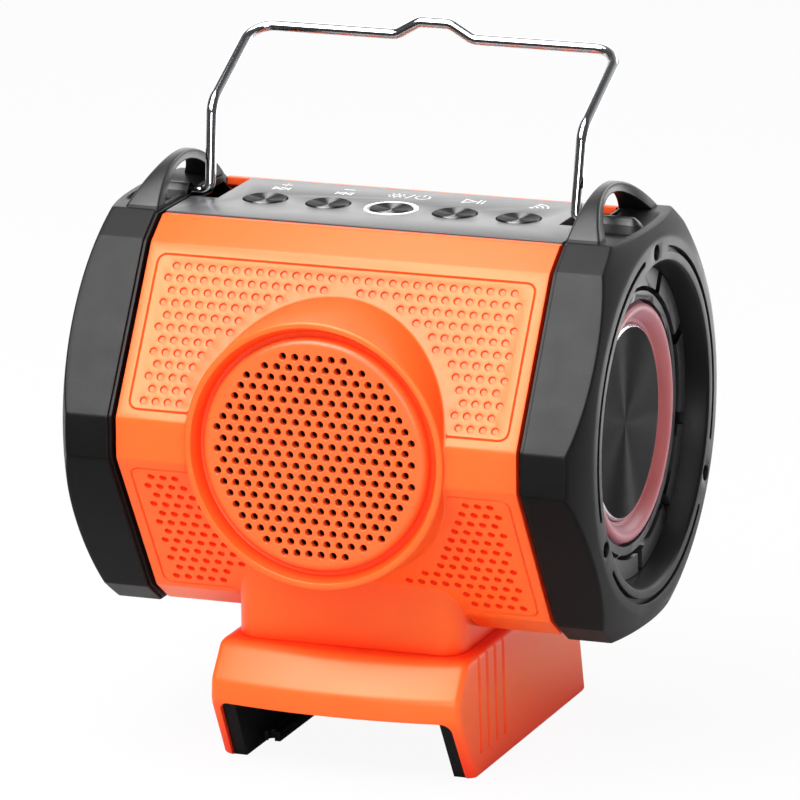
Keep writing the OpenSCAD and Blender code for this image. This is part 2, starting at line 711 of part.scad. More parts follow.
module driver_cone() {
    lift = basket_back + basket_t + 4;
    rim = flange_h - basket_t - 1;
    color("#26272A") in_barrel() turned_front() polygon([[coil_r - 0.7, magnet_back + 10], [coil_r, magnet_back + 10],
        [coil_r, lift], [cone_r - 0.8, rim - 2], [cone_r, rim - 2], [cone_r, rim], [cone_r - 0.8, rim],
        [cone_r - 1.6, rim - 1.4], [coil_r, lift + 1.4], [coil_r * 0.7, lift + 3.2], [0, lift + 4.4],
        [0, lift + 3.4], [coil_r * 0.65, lift + 2.3], [coil_r - 0.7, lift]]);
}
module driver_surround() {
    color("#17181A") in_barrel() turned_front() half_roll(cone_r + gap, cone_r + 6.2 - fit, roll_h, rubber_t * 0.8);
}
module driver_screws() {
    color("#8A8C90") in_barrel() for (a = [45:90:315]) rotate([0, a, 0]) translate([driver_screw_pcr, 0, 0]) {
        rod_y(-shelf_h + 0.8, -flange_h + basket_t, small_screw_r);
        rod_y(-flange_h + basket_t, -flange_h + basket_t + 1.6, small_head_r);
    }
}

// Controls
module control_panel() {
    color("#3C3D40") in_barrel() difference() {
        union() {
            box([-half_len + fit, -panel_w / 2 + fit, panel_z], [half_len - fit, panel_w / 2 - fit, half_h]);
            for (x = [-1, 1], y = [-1, 1]) translate([x * post_x, y * post_y, 0])
                rod_z(board_z, panel_z + eps, small_screw_r + 1.8);
        }
        both_ends() box([notch_x, -notch_lead, panel_z - eps], [far, far, half_h + eps]);
        for (x = button_xs) translate([x, 0, 0])
            rod_z(panel_z - eps, half_h + eps, x == 0 ? ring_out_r + fit : button_r + gap);
        for (x = [-1, 1], y = [-1, 1]) translate([x * post_x, y * post_y, 0])
            rod_z(board_z - eps, panel_z, small_screw_r + thread_fit);
    }
}
module light_ring() {
    color("#F4F6F8") in_barrel() difference() {
        union() {
            rod_z(panel_z - flange_t, half_h, ring_out_r);
            rod_z(panel_z - flange_t, panel_z, ring_out_r + 1.5);
        }
        rod_z(0, far, ring_in_r);
    }
}
module button(x, drop) {
    dish_r = 40;
    top = half_h + button_proud;
    flange_top = panel_z - gap - drop;
    in_barrel() translate([x, 0, 0]) difference() {
        union() {
            rod_z(flange_top - flange_t, top, button_r);
            rod_z(flange_top - flange_t, flange_top, flange_r);
            rod_z(stem_z, flange_top - flange_t + eps, 2);
        }
        translate([0, 0, top + dish_r - 0.5]) sphere(dish_r);
    }
}
module volume_up_button() { color("#6A6C70") button(button_xs[0], 0); }
module volume_down_button() { color("#6A6C70") button(button_xs[1], 0); }
module power_button() { color("#6A6C70") button(button_xs[2], flange_t); }
module play_button() { color("#6A6C70") button(button_xs[3], 0); }
module pair_button() { color("#6A6C70") button(button_xs[4], 0); }
module control_board() {
    color("#1F6B3A") in_barrel() difference() {
        box([-2.55 * button_pitch, -post_y - 4, board_z - board_t], [2.55 * button_pitch, post_y + 4, board_z]);
        for (x = [-1, 1], y = [-1, 1]) translate([x * post_x, y * post_y, 0])
            rod_z(0, far, small_screw_r + pass_fit);
    }
}
module tact_switches() {
    color("#B9BCC0") in_barrel() for (x = button_xs) translate([x, 0, 0]) {
        box([-switch_w / 2, -switch_w / 2, board_z], [switch_w / 2, switch_w / 2, board_z + switch_h]);
        rod_z(board_z + switch_h, board_z + switch_h + plunger_h, 1.6);
    }
}
module board_screws() {
    color("#8A8C90") in_barrel() for (x = [-1, 1], y = [-1, 1]) translate([x * post_x, y * post_y, 0]) {
        rod_z(board_z - board_t - 1.4, board_z - board_t, small_head_r);
        rod_z(board_z - board_t, board_z + 6, small_screw_r);
    }
}

// Handle
function handle_side(s) = [[s * (half_len + 2), 0, 0], [s * leg_x, 0, 0], [s * (leg_x + 0.8), leg_lean, leg_rise],
    [s * (leg_x + 0.8), bar_back, bar_rise], [s * hump_w / 2, bar_back, bar_rise],
    [s * hump_w / 5, bar_back, bar_rise + hump_h]];
module handle() {
    bends = [3, 8, 8, 5, 5, 5, 5, 8, 8, 3];
    right = handle_side(1);
    color("#D5D8DC") in_barrel() translate([0, 0, pivot_z]) {
        bent_wire(concat(handle_side(-1), [for (i = [5:-1:0]) right[i]]), bends, 0.98 * wire_r, 12, 4);
        both_ends() rod_x(half_len, cap_x0 + pivot_len, wire_r);
    }
}

// Main board and wiring
module main_board() {
    color("#1F6B3A") in_barrel() difference() {
        union() {
            box([-main_x, -2, main_z], [main_x, 28, main_z + board_t]);
            for (x = [-15, 0]) translate([x, 13, 0]) rod_z(main_z, main_z + board_t + 14, 5);
            box([22, 8, main_z], [38, 20, main_z + board_t + 12]);
            box([-38, 8, main_z], [-22, 20, main_z + board_t + 3]);
        }
        for (x = [-1, 1], y = main_post_ys) translate([x * main_post_x, y, 0])
            rod_z(-far, far, small_screw_r + pass_fit);
    }
}
module main_board_screws() {
    color("#8A8C90") in_barrel() for (x = [-1, 1], y = main_post_ys) translate([x * main_post_x, y, 0]) {
        rod_z(main_z + board_t, main_z + board_t + 1.4, small_head_r);
        rod_z(main_z - 6, main_z + board_t, small_screw_r);
    }
}
module driver_leads() {
    r = 0.8;
    z0 = main_z + board_t + r + fit;
    z1 = -magnet_r - 5;
    color("#C8B04A") in_barrel() for (x = [-4, 4])
        bent_wire([[x, 4, z0], [x, -magnet_back - 4, z0], [x, -magnet_back - 8, z1], [x, -flange_h + 10, z1]],
            [6, 6], r, 8, 3);
}
module power_leads() {
    r = 1.1;
    run_z = (cradle_z + cradle_t + base_h - base_top_t) / 2;
    color("#A02A24") on_ground() for (x = [-5, 5])
        bent_wire([[x, lead_y, cradle_z], [x, lead_y, run_z], [x * 0.6, wire_hole_y, run_z],
            [x * 0.6, wire_hole_y, axis_h + main_z]], [4, 4], r, 8, 3);
}

// Battery foot
module base_outline() {
    intersection() {
        prism_y(-far, far) polygon(base_front_view());
        prism_x(-far, far) polygon(base_rear_view());
        base_bow(0);
        translate([0, (base_back - base_front) / 2 - 10, -eps]) linear_extrude(base_h + 2 * eps)
            round_rect(base_w, base_back + base_front + 20, base_corner_r);
    }
}
module base_bow(wall) {
    translate([0, bow_r - base_front, 0]) rotate_extrude() polygon(base_bow_view(wall));
}
module channel(inset, y0, y1, top) {
    prism_y(y0, y1) polygon([[channel_x(-eps) - inset, -eps], [channel_x(top) - inset, top],
        [-channel_x(top) + inset, top], [-channel_x(-eps) + inset, -eps]]);
}
module base_posts(r, z0, z1) {
    for (x = [-1, 1], y = cradle_screw_ys) translate([x * cradle_screw_x, y, 0]) rod_z(z0, z1, r);
}
module battery_base() {
    color("#F36A2B") on_ground() difference() {
        union() {
            difference() {
                base_outline();
                intersection() {
                    prism_y(-far, far) polygon(grown(base_front_view(), -base_wall));
                    prism_x(-far, far) polygon(grown(base_rear_view(), -base_wall));
                    base_bow(1.2 * base_wall);
                    box([-far, -far, channel_h - eps], [far, far, base_h - base_top_t]);
                }
                channel(0, -far, cradle_back + fit, channel_h);
            }
            base_posts(screw_r + boss_wall - 0.6, channel_h + fit + cradle_t, base_h - base_top_t + eps);
        }
        base_posts(screw_r + thread_fit, channel_h, base_h - base_top_t - eps);
        translate([0, wire_hole_y, 0]) rod_z(channel_h, far, wire_hole_r);
        for (x = [-1, 1], y = neck_screw_ys) translate([x * neck_screw_x, y, 0])
            rod_z(channel_h, far, screw_r + pass_fit);
        intersection() {
            difference() {
                box([-far, -far, groove_z], [far, far, base_h - 1]);
                prism_y(-far, far) polygon(grown(base_front_view(), -groove_depth));
            }
            for (i = [0:groove_count - 1]) translate([-far, leg_front + 17 + i * groove_pitch, 0])
                cube([2 * far, groove_w, base_h]);
        }
    }
}
module battery_cradle() {
    back = cradle_back;
    front = leg_front + 1;
    color("#1C1D1F") on_ground() difference() {
        union() {
            difference() {
                intersection() {
                    channel(fit, front, back, cradle_z + eps);
                    prism_x(-far, far) polygon([[front + front_lean, 0], [back, 0], [back, cradle_z + eps],
                        [front + front_lean * (1 - cradle_z / channel_h), cradle_z + eps]]);
                }
                channel(fit + cradle_wall, -far, far, cradle_z + 2 * eps);
                box([-far, -far, channel_h - fit], [far, hollow_front + fit, far]);
            }
            box([-channel_x(cradle_z + cradle_t) + fit, hollow_front + 0.6, cradle_z],
                [channel_x(cradle_z + cradle_t) - fit, back, cradle_z + cradle_t]);
            both_ends() box([channel_x(rail_z) - cradle_wall - rail_reach, front + front_lean + 15, rail_z],
                [channel_x(rail_z) - fit - 1, back, rail_z + rail_t]);
        }
        base_posts(screw_r + pass_fit, 0, base_h);
        base_posts(head_r + pass_fit, cradle_z - eps, cradle_z + head_h + fit);
        for (x = [-5, 5]) translate([x, lead_y, 0]) rod_z(channel_h - eps, base_h, 2);
    }
}
module terminal_block() {
    color("#232426") on_ground() box([-block_w / 2, block_y, block_z], [block_w / 2, block_back, cradle_z]);
}
module terminal_blades() {
    color("#C99A4B") on_ground() for (i = [-1.5:1.5])
        box([i * blade_pitch - 0.5, block_y - 14, block_z + 1.5], [i * blade_pitch + 0.5, block_y, cradle_z - 1.5]);
}

// Fasteners
module shell_screws() {
    color("#3A3A3C") in_barrel() for (x = [-1, 1], z = [-1, 1]) translate([x * shell_screw_x, 0, z * shell_screw_z]) {
        rod_y(-13, 14, screw_r);
        rod_y(14, 14 + head_h, head_r);
    }
}
module base_screws() {
    z = base_h - base_top_t;
    color("#8A8C90") on_ground() for (x = [-1, 1], y = neck_screw_ys)
        translate([x * neck_screw_x, y, 0]) {
            rod_z(z - head_h, z, head_r);
            rod_z(z, base_h + neck_h, screw_r);
        }
}
module cradle_screws() {
    z = cradle_z + head_h;
    color("#8A8C90") on_ground() {
        base_posts(head_r, cradle_z, z);
        base_posts(screw_r, z, base_h - base_top_t - 1);
    }
}

front_shell();
rear_shell();
left_end_cap();
right_end_cap();
cap_screws();
left_radiator_frame();
right_radiator_frame();
left_radiator_surround();
right_radiator_surround();
left_radiator_disc();
right_radiator_disc();
speaker_grille();
driver_gasket();
driver_basket();
driver_magnet();
driver_cone();
driver_surround();
driver_screws();
control_panel();
light_ring();
volume_up_button();
volume_down_button();
power_button();
play_button();
pair_button();
control_board();
tact_switches();
board_screws();
handle();
main_board();
main_board_screws();
driver_leads();
power_leads();
battery_base();
battery_cradle();
terminal_block();
terminal_blades();
shell_screws();
base_screws();
cradle_screws();
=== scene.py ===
import math

import bmesh
import bpy
from mathutils import Matrix, Vector, kdtree
from mathutils.geometry import delaunay_2d_cdt


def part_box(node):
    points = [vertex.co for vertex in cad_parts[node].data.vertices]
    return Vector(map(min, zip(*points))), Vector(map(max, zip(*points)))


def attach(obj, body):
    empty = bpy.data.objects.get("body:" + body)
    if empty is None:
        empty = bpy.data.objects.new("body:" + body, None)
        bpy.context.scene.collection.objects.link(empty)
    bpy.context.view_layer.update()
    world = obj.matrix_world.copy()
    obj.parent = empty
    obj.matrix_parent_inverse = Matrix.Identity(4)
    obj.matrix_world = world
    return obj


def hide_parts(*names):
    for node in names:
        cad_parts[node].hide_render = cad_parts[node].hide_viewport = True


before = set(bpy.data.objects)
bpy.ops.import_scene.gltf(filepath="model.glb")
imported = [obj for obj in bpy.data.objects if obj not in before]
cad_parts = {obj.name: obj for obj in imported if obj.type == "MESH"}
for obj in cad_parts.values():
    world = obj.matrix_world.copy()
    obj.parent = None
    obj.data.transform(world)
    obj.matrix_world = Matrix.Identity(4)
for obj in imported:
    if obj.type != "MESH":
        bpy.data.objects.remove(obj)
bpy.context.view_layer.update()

# Viewpoint of the photograph: a long lens, a little above the speaker and to its right.
# It looks at the barrel's axis, which runs through the middle of the right radiator's disc.
LENS, SENSOR, DISTANCE, SHIFT_RIGHT, SHIFT_UP = 373.6, 36, 2.6165, 0.002194, 0.000615
scene = bpy.context.scene
scene.view_settings.view_transform = "Standard"
disc_low, disc_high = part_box("right_radiator_disc")
AXIS = Vector((0, (disc_low.y + disc_high.y) / 2, (disc_low.z + disc_high.z) / 2))
azimuth, elevation, tilt = (math.radians(a) for a in (20.7185, 14.69, -0.469))
towards = Vector((math.sin(azimuth) * math.cos(elevation), -math.cos(azimuth) * math.cos(elevation),
                  math.sin(elevation)))
level = Vector((math.cos(azimuth), math.sin(azimuth), 0))
upright = towards.cross(level)
image_right = level * math.cos(tilt) + upright * math.sin(tilt)
image_up = upright * math.cos(tilt) - level * math.sin(tilt)
camera_data = bpy.data.cameras.new("camera")
camera_data.lens, camera_data.sensor_width = LENS, SENSOR
camera_data.clip_start, camera_data.clip_end = 0.1, 20
camera = bpy.data.objects.new("camera", camera_data)
scene.collection.objects.link(camera)
camera.matrix_world = (
    Matrix.Translation(AXIS + towards * DISTANCE + image_right * SHIFT_RIGHT + image_up * SHIFT_UP)
    @ Matrix((image_right, image_up, towards)).transposed().to_4x4())
scene.camera = camera

# Studio: a pale floor that runs out to a white background, a darker room in front and large soft boxes.
# Camera and reflections see the white behind the speaker, and the floor keeps a faint shadow of the foot.
WHITE, AIR_LIGHT, FLOOR_TONE, FLOOR_GLOW, FLOOR_HALF = (1, 1, 1, 1), 0.32, 0.7, 0.93, 6


def feed(tree, node, inputs):
    """Give a node's inputs their plain values, or links from other nodes."""
    for socket, value in inputs.items():
        if isinstance(value, bpy.types.NodeSocket):
            tree.links.new(value, node.inputs[socket])
        else:
            node.inputs[socket].default_value = value


def add_node(tree, kind, inputs=None):
    node = tree.nodes.new(kind)
    feed(tree, node, inputs or {})
    return node


def new_material(name):
    material = bpy.data.materials.new(name)
    material.use_nodes = True
    return material, material.node_tree


def ranged(tree, value, span, result):
    """A value carried over from one span to another."""
    return add_node(tree, "ShaderNodeMapRange", {"Value": value, "From Min": span[0], "From Max": span[1],
                                                 "To Min": result[0], "To Max": result[1]})


world = bpy.data.worlds.new("studio_air")
scene.world = world
world.use_nodes = True
air = world.node_tree
air_light = air.nodes["Background"]
feed(air, air_light, {"Color": WHITE, "Strength": AIR_LIGHT})
white_air = add_node(air, "ShaderNodeBackground", {"Color": WHITE})
way = add_node(air, "ShaderNodeTexCoord")
way_parts = add_node(air, "ShaderNodeSeparateXYZ", {0: way.outputs["Generated"]})
room = ranged(air, way_parts.outputs["Y"], (0.3, 0.85), (0.12, 1.0))
room.interpolation_type = "SMOOTHSTEP"
room_air = add_node(air, "ShaderNodeBackground", {"Strength": room.outputs[0]})
air_path = add_node(air, "ShaderNodeLightPath")
shiny = add_node(air, "ShaderNodeMath", {0: air_path.outputs["Is Glossy Ray"],
                                         1: air_path.outputs["Is Transmission Ray"]})
shiny.operation = "MAXIMUM"
shiny_air = add_node(air, "ShaderNodeMixShader", {0: shiny.outputs[0], 1: air_light.outputs[0],
                                                  2: room_air.outputs[0]})
seen_air = add_node(air, "ShaderNodeMixShader", {0: air_path.outputs["Is Camera Ray"],
                                                 1: shiny_air.outputs[0], 2: white_air.outputs[0]})
feed(air, air.nodes["World Output"], {"Surface": seen_air.outputs[0]})

floor_mesh = bpy.data.meshes.new("floor")
floor_corners = [(x * FLOOR_HALF, y * FLOOR_HALF, 0) for x, y in ((-1, -1), (1, -1), (1, 1), (-1, 1))]
floor_mesh.from_pydata(floor_corners, [], [(0, 1, 2, 3)])
floor = bpy.data.objects.new("floor", floor_mesh)
scene.collection.objects.link(floor)
floor_material, ground = new_material("pale_floor")
ground.nodes.remove(ground.nodes["Principled BSDF"])
floor_path = add_node(ground, "ShaderNodeLightPath")
floor_place = add_node(ground, "ShaderNodeNewGeometry")
floor_parts = add_node(ground, "ShaderNodeSeparateXYZ", {0: floor_place.outputs["Position"]})
# Painted shade: as reflections see it, the floor darkens almost to black in front of the foot.
floor_reflected_shade = ranged(ground, floor_parts.outputs["Y"], (-0.1, 0.0), (0.03, FLOOR_TONE))
floor_tone = add_node(ground, "ShaderNodeMix", {"Factor": floor_path.outputs["Is Glossy Ray"],
                                                "A": FLOOR_TONE, "B": floor_reflected_shade.outputs[0]})
floor_paint = add_node(ground, "ShaderNodeBsdfDiffuse", {"Color": floor_tone.outputs["Result"]})
floor_glow = add_node(ground, "ShaderNodeEmission")
floor_share = add_node(ground, "ShaderNodeMath", {0: floor_path.outputs["Is Camera Ray"], 1: FLOOR_GLOW})
floor_share.operation = "MULTIPLY"
floor_mix = add_node(ground, "ShaderNodeMixShader", {0: floor_share.outputs[0], 1: floor_paint.outputs[0],
                                                     2: floor_glow.outputs[0]})
feed(ground, ground.nodes["Material Output"], {"Surface": floor_mix.outputs[0]})
floor_mesh.materials.append(floor_material)


def soft_box(name, place, aim, size, power, lights=True, shows=True):
    """A soft box, or a card that only shows as a reflection in the glossy surfaces."""
    lamp_data = bpy.data.lights.new(name, "AREA")
    lamp_data.shape, lamp_data.energy = "RECTANGLE", power
    lamp_data.size, lamp_data.size_y = size
    lamp = bpy.data.objects.new(name, lamp_data)
    lamp.location = place
    lamp.rotation_euler = (Vector(aim) - Vector(place)).to_track_quat("-Z", "Y").to_euler()
    lamp.visible_camera, lamp.visible_diffuse, lamp.visible_glossy = False, lights, shows
    scene.collection.objects.link(lamp)


soft_box("key_box", (-0.56, -1.02, 1.28), (0, 0, 0.11), (1.1, 0.8), 20)
soft_box("top_box", (-0.25, -0.3, 1.7), (0, 0, 0.15), (1.4, 1.1), 25)
soft_box("front_box", (0.5, -2.1, 0.5), (0, 0, 0.1), (0.8, 0.6), 13)
soft_box("right_box", (1.7, -0.3, 0.7), (0.08, 0, 0.1), (0.5, 0.9), 7, shows=False)
soft_box("key_card", (-0.12, -0.72, 0.95), (0, 0, 0.11), (0.9, 0.8), 11.5, lights=False)
soft_box("back_card", (-0.6, 1.54, 0.6), (0, 0, 0.14), (1.7, 1.0), 8, lights=False)
soft_box("rim_card", (0.66, 1.45, 0.85), (0.08, 0, 0.15), (0.8, 0.9), 8, lights=False)
soft_box("floor_card", (0.42, 0.72, 0.004), (0.42, 0.72, 1), (0.8, 0.7), 6, lights=False)

# Front shell: the front half of the six-sided barrel with its round speaker pod and half of the neck,
# one injection moulding in satin orange plastic with rows of shallow dimples and fine panel lines.
MM = 0.001
HALF_LEN, CROWN, SHOULDER, WAIST = 66.1, (28.1, 62.3), (37.8, 55.7), (68.9, 6.5)
PANEL_EDGE, PANEL_SOFT, PANEL_DEEP, RIM_SOFT, RIM_IN = 25.6, 0.4, 2.4, 0.6, 3.0
SLOPE_FALL = (SHOULDER[1] - WAIST[1]) / math.dist(SHOULDER, WAIST)
DIMPLE_R, DIMPLE_STEP, DIMPLE_ROWS, DIMPLE_REACH = 1.2, 4, 12, 56
DIMPLES_HIGH, DIMPLES_LOW = (7.3, 4.05, 0.6), (7.35, 4.15, 1.3)
LINE_X, LINE_HALF, LINE_DEEP, LINE_R, LINES_HIGH, LINES_LOW = 62.5, 0.42, 0.4, 3, (3.7, 54.8), (3.9, 56.2)
NECK_X, NECK_FRONT, NECK_BACK, NECK_R, NECK_FOOT, NECK_FILLET = 37.7, 43.4, 31.0, 8.0, -68.5, 0.6
LIP_R, LIP_FOOT, DRUM_DRAFT, DRUM_STEPS, POD_SIDES, POD_FILLET = 42.7, 69.3, 0.073, 6, 144, 0.7
LIP = ((42.66, 69.6), (42.48, 69.95), (42.15, 70.22), (41.7, 70.36), (41.0, 70.4), (40.66, 70.32),
       (40.44, 70.1), (40.32, 69.75), (39.75, 68.5), (38.9, 66.6), (38.6, 66.2), (38.1, 66.0), (36.4, 66.0),
       (36.4, 64.4))
POD_CLEAR_HIGH, POD_CLEAR_LOW, NECK_CLEAR, CORNER_CLEAR, CORNER_X = 46.4, 47.9, 1.4, 2.1, 31.2


def at_axis(x, y, z):
    """Millimetres from the middle of the barrel, as metres in the row frame."""
    return Vector((x * MM, AXIS.y + y * MM, AXIS.z + z * MM))


def joined_mesh(name, verts, faces, inside=None):
    """A mesh in millimetres from the barrel's axis, with its parts joined and its faces turned outwards."""
    mesh = bpy.data.meshes.new(name)
    mesh.from_pydata([at_axis(*v) for v in verts], [], faces)
    shape = bmesh.new()
    shape.from_mesh(mesh)
    bmesh.ops.remove_doubles(shape, verts=shape.verts, dist=2e-6)
    bmesh.ops.recalc_face_normals(shape, faces=shape.faces)
    if inside is not None:
        middle = at_axis(*inside)
        if sum(f.calc_area() * f.normal.dot(f.calc_center_median() - middle) for f in shape.faces) < 0:
            bmesh.ops.reverse_faces(shape, faces=shape.faces)
    shape.to_mesh(mesh)
    shape.free()
    return mesh


def finish_piece(name, mesh, material, body, slot, nodes=(), sharp=35):
    """A smooth-shaded piece that rides on a body in place of its CAD nodes."""
    mesh.polygons.foreach_set("use_smooth", [True] * len(mesh.polygons))
    mesh.set_sharp_from_angle(angle=math.radians(sharp))
    mesh.materials.clear()
    mesh.materials.append(material)
    piece = bpy.data.objects.new(name, mesh)
    scene.collection.objects.link(piece)
    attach(piece, body)
    if nodes:
        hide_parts(*nodes)
    return piece


def add_piece(name, shape, material, body, slot, nodes=(), sharp=35, inside=None):
    return finish_piece(name, joined_mesh(name, *shape, inside), material, body, slot, nodes, sharp)


def merged(*shapes):
    """Several sets of points and faces as one."""
    verts, faces = [], []
    for more_verts, more_faces in shapes:
        faces += [tuple(len(verts) + i for i in face) for face in more_faces]
        verts += more_verts
    return verts, faces


def grid_faces(rows, columns, closed=False):
    """Quads of a grid of rows, each of the same number of columns."""
    span = columns if closed else columns - 1
    return [(r * columns + c, r * columns + (c + 1) % columns,
             (r + 1) * columns + (c + 1) % columns, (r + 1) * columns + c)
            for r in range(rows - 1) for c in range(span)]


def bezier(a, b, c, t):
    a, b, c = Vector(a), Vector(b), Vector(c)
    return a * (1 - t) ** 2 + b * 2 * t * (1 - t) + c * t ** 2


def circle(radius, sides, x=0.0, y=0.0):
    turn = [2 * math.pi * k / sides for k in range(sides)]
    return [(x + radius * math.cos(a), y + radius * math.sin(a)) for a in turn]


def rounded(points, radii, steps=5, closed=False):
    """A 2-D outline with an arc of the given radius at each corner."""
    path = []
    last = len(points) - 1
    for i, (point, radius) in enumerate(zip(points, radii)):
        p = Vector(point)
        if radius == 0 or (not closed and i in (0, last)):
            path.append(p)
            continue
        a = (p - Vector(points[i - 1])).normalized()
        b = (Vector(points[(i + 1) % len(points)]) - p).normalized()
        turn = a.angle(b)
        centre = p + (b - a).normalized() * radius / math.cos(turn / 2)
        start = p - a * radius * math.tan(turn / 2) - centre
        sense = 1 if a.x * b.y - a.y * b.x > 0 else -1
        path += [centre + Matrix.Rotation(sense * turn * k / steps, 2) @ start for k in range(steps + 1)]
    return path


class Skin:
    """Half of the barrel's section, unrolled from the panel's edge down to the split under the barrel."""

    def __init__(self, side):
        self.side = side
        corners = [(PANEL_EDGE + PANEL_SOFT, CROWN[1]), CROWN, SHOULDER, WAIST, (WAIST[0], -WAIST[1]),
                   (SHOULDER[0], -SHOULDER[1]), (CROWN[0], -CROWN[1]), (0.05, -CROWN[1])]
        half = rounded(corners, (0, 1.2, 2, 2.5, 2.5, 2, 1.5, 0))
        self.points = [(side * p.x, p.y) for p in half]
        self.along = [0.0]
        for a, b in zip(self.points, self.points[1:]):
            self.along.append(self.along[-1] + math.dist(a, b))
        self.heights = [z for _, z in self.points]
        self.depths = [abs(y) if z < 0 else math.inf for y, z in self.points]

    def place(self, x, s, deep=0.0):
        """The point at an unrolled distance, or at a depth below it."""
        k = 0
        while k < len(self.along) - 2 and self.along[k + 1] < s:
            k += 1
        t = (s - self.along[k]) / (self.along[k + 1] - self.along[k])
        (y0, z0), (y1, z1) = self.points[k], self.points[k + 1]
        length = math.dist((y0, z0), (y1, z1))
        normal = (-self.side * (z1 - z0) / length, self.side * (y1 - y0) / length)
        return (x, y0 + (y1 - y0) * t - normal[0] * deep, z0 + (z1 - z0) * t - normal[1] * deep)

    def _reaches(self, falling, target):
        for k, (a, b) in enumerate(zip(falling, falling[1:])):
            if b <= target <= a and a > b:
                return self.along[k] + (self.along[k + 1] - self.along[k]) * (a - target) / (a - b)
        return self.along[-1]

    def at_height(self, z):
        """Unrolled distance at which the skin is at height z."""
        return self._reaches(self.heights, z)

    def under(self, depth):
        """Unrolled distance on the underside at a distance in front of or behind the axis."""
        return self._reaches(self.depths, depth)

    def on_slope(self, top, points):
        """Unrolled places of points (along, down) on the slope whose upper corner is at height top."""
        return [(x, self.at_height(top - SLOPE_FALL * v)) for x, v in points]


class Sheet:
    """Points and edges on the unrolled skin, with a depth below it, for one triangulation."""

    def __init__(self):
        self.points, self.deep, self.edges = [], [], []

    def line(self, points, deep=0.0, closed=False):
        first, count = len(self.points), len(points)
        self.points += [Vector(p) for p in points]
        self.deep += [deep] * count
        self.edges += [(first + i, first + (i + 1) % count) for i in range(count if closed else count - 1)]

    def dimple(self, x, s, depth):
        rings = ((1.08, 0, 16), (1, 0.07, 16), (0.91, 0.7, 16), (0.78, 0.95, 16), (0.4, 1, 8))
        for share, deep, sides in rings:
            self.line(circle(DIMPLE_R * share, sides, x, s), depth * deep, closed=True)

    def groove(self, points, closed=False):
        """A V-shaped line along a path with rounded corners."""
        path = rounded(points, [LINE_R] * len(points), 5, closed)
        count = len(path)
        for offset, deep in ((-LINE_HALF, 0), (0, LINE_DEEP), (LINE_HALF, 0)):
            moved = []
            for i, p in enumerate(path):
                before = path[i - 1] if closed or i else p
                after = path[(i + 1) % count] if closed or i < count - 1 else p
                along = (after - before).normalized()
                moved.append((p.x - along.y * offset, p.y + along.x * offset))
            self.line(moved, deep, closed)

    def filled(self, place, keep):
        """The sheet's triangles with their corners put in place, less those whose middle isn't kept."""
        points, _, faces, sources, _, _ = delaunay_2d_cdt(self.points, self.edges, [], 0, 1e-5)
        deep = [self.deep[s[0]] if s else 0.0 for s in sources]
        kept = [tuple(f) for f in faces if keep(sum((points[i] for i in f), Vector((0, 0))) / 3)]
        return [place(*p, d) for p, d in zip(points, deep)], kept


def dimple_rows(sheet, skin, top, first, pitch, depth, keep):
    """Staggered rows of dimples down a slope whose upper corner is at height top."""
    for row in range(DIMPLE_ROWS):
        z = top - SLOPE_FALL * (first + pitch * row)
        s = skin.at_height(z)
        shift = row % 2 * DIMPLE_STEP / 2
        for k in range(-15, 16):
            x = DIMPLE_STEP * k + shift
            if abs(x) <= DIMPLE_REACH + shift and keep(x, z):
                sheet.dimple(x, s, depth)


def neck_outline(side, grow):
    """Half of the neck's outline, from the right flank round to the left one."""
    reach = NECK_FRONT if side < 0 else NECK_BACK
    corner = Vector((NECK_X - NECK_R, reach - NECK_R))
    right = rounded([(NECK_X, 0), (NECK_X, reach), (0, reach)], (0, NECK_R, 0), 8)
    out = []
    for p in [right[0], Vector((NECK_X, corner.y - 12))] + right[1:]:
        out.append(p + Vector((max(p.x - corner.x, 0), max(p.y - corner.y, 0))).normalized() * grow)
    return [(p.x, p.y) for p in out] + [(-p.x, p.y) for p in reversed(out[:-1])]


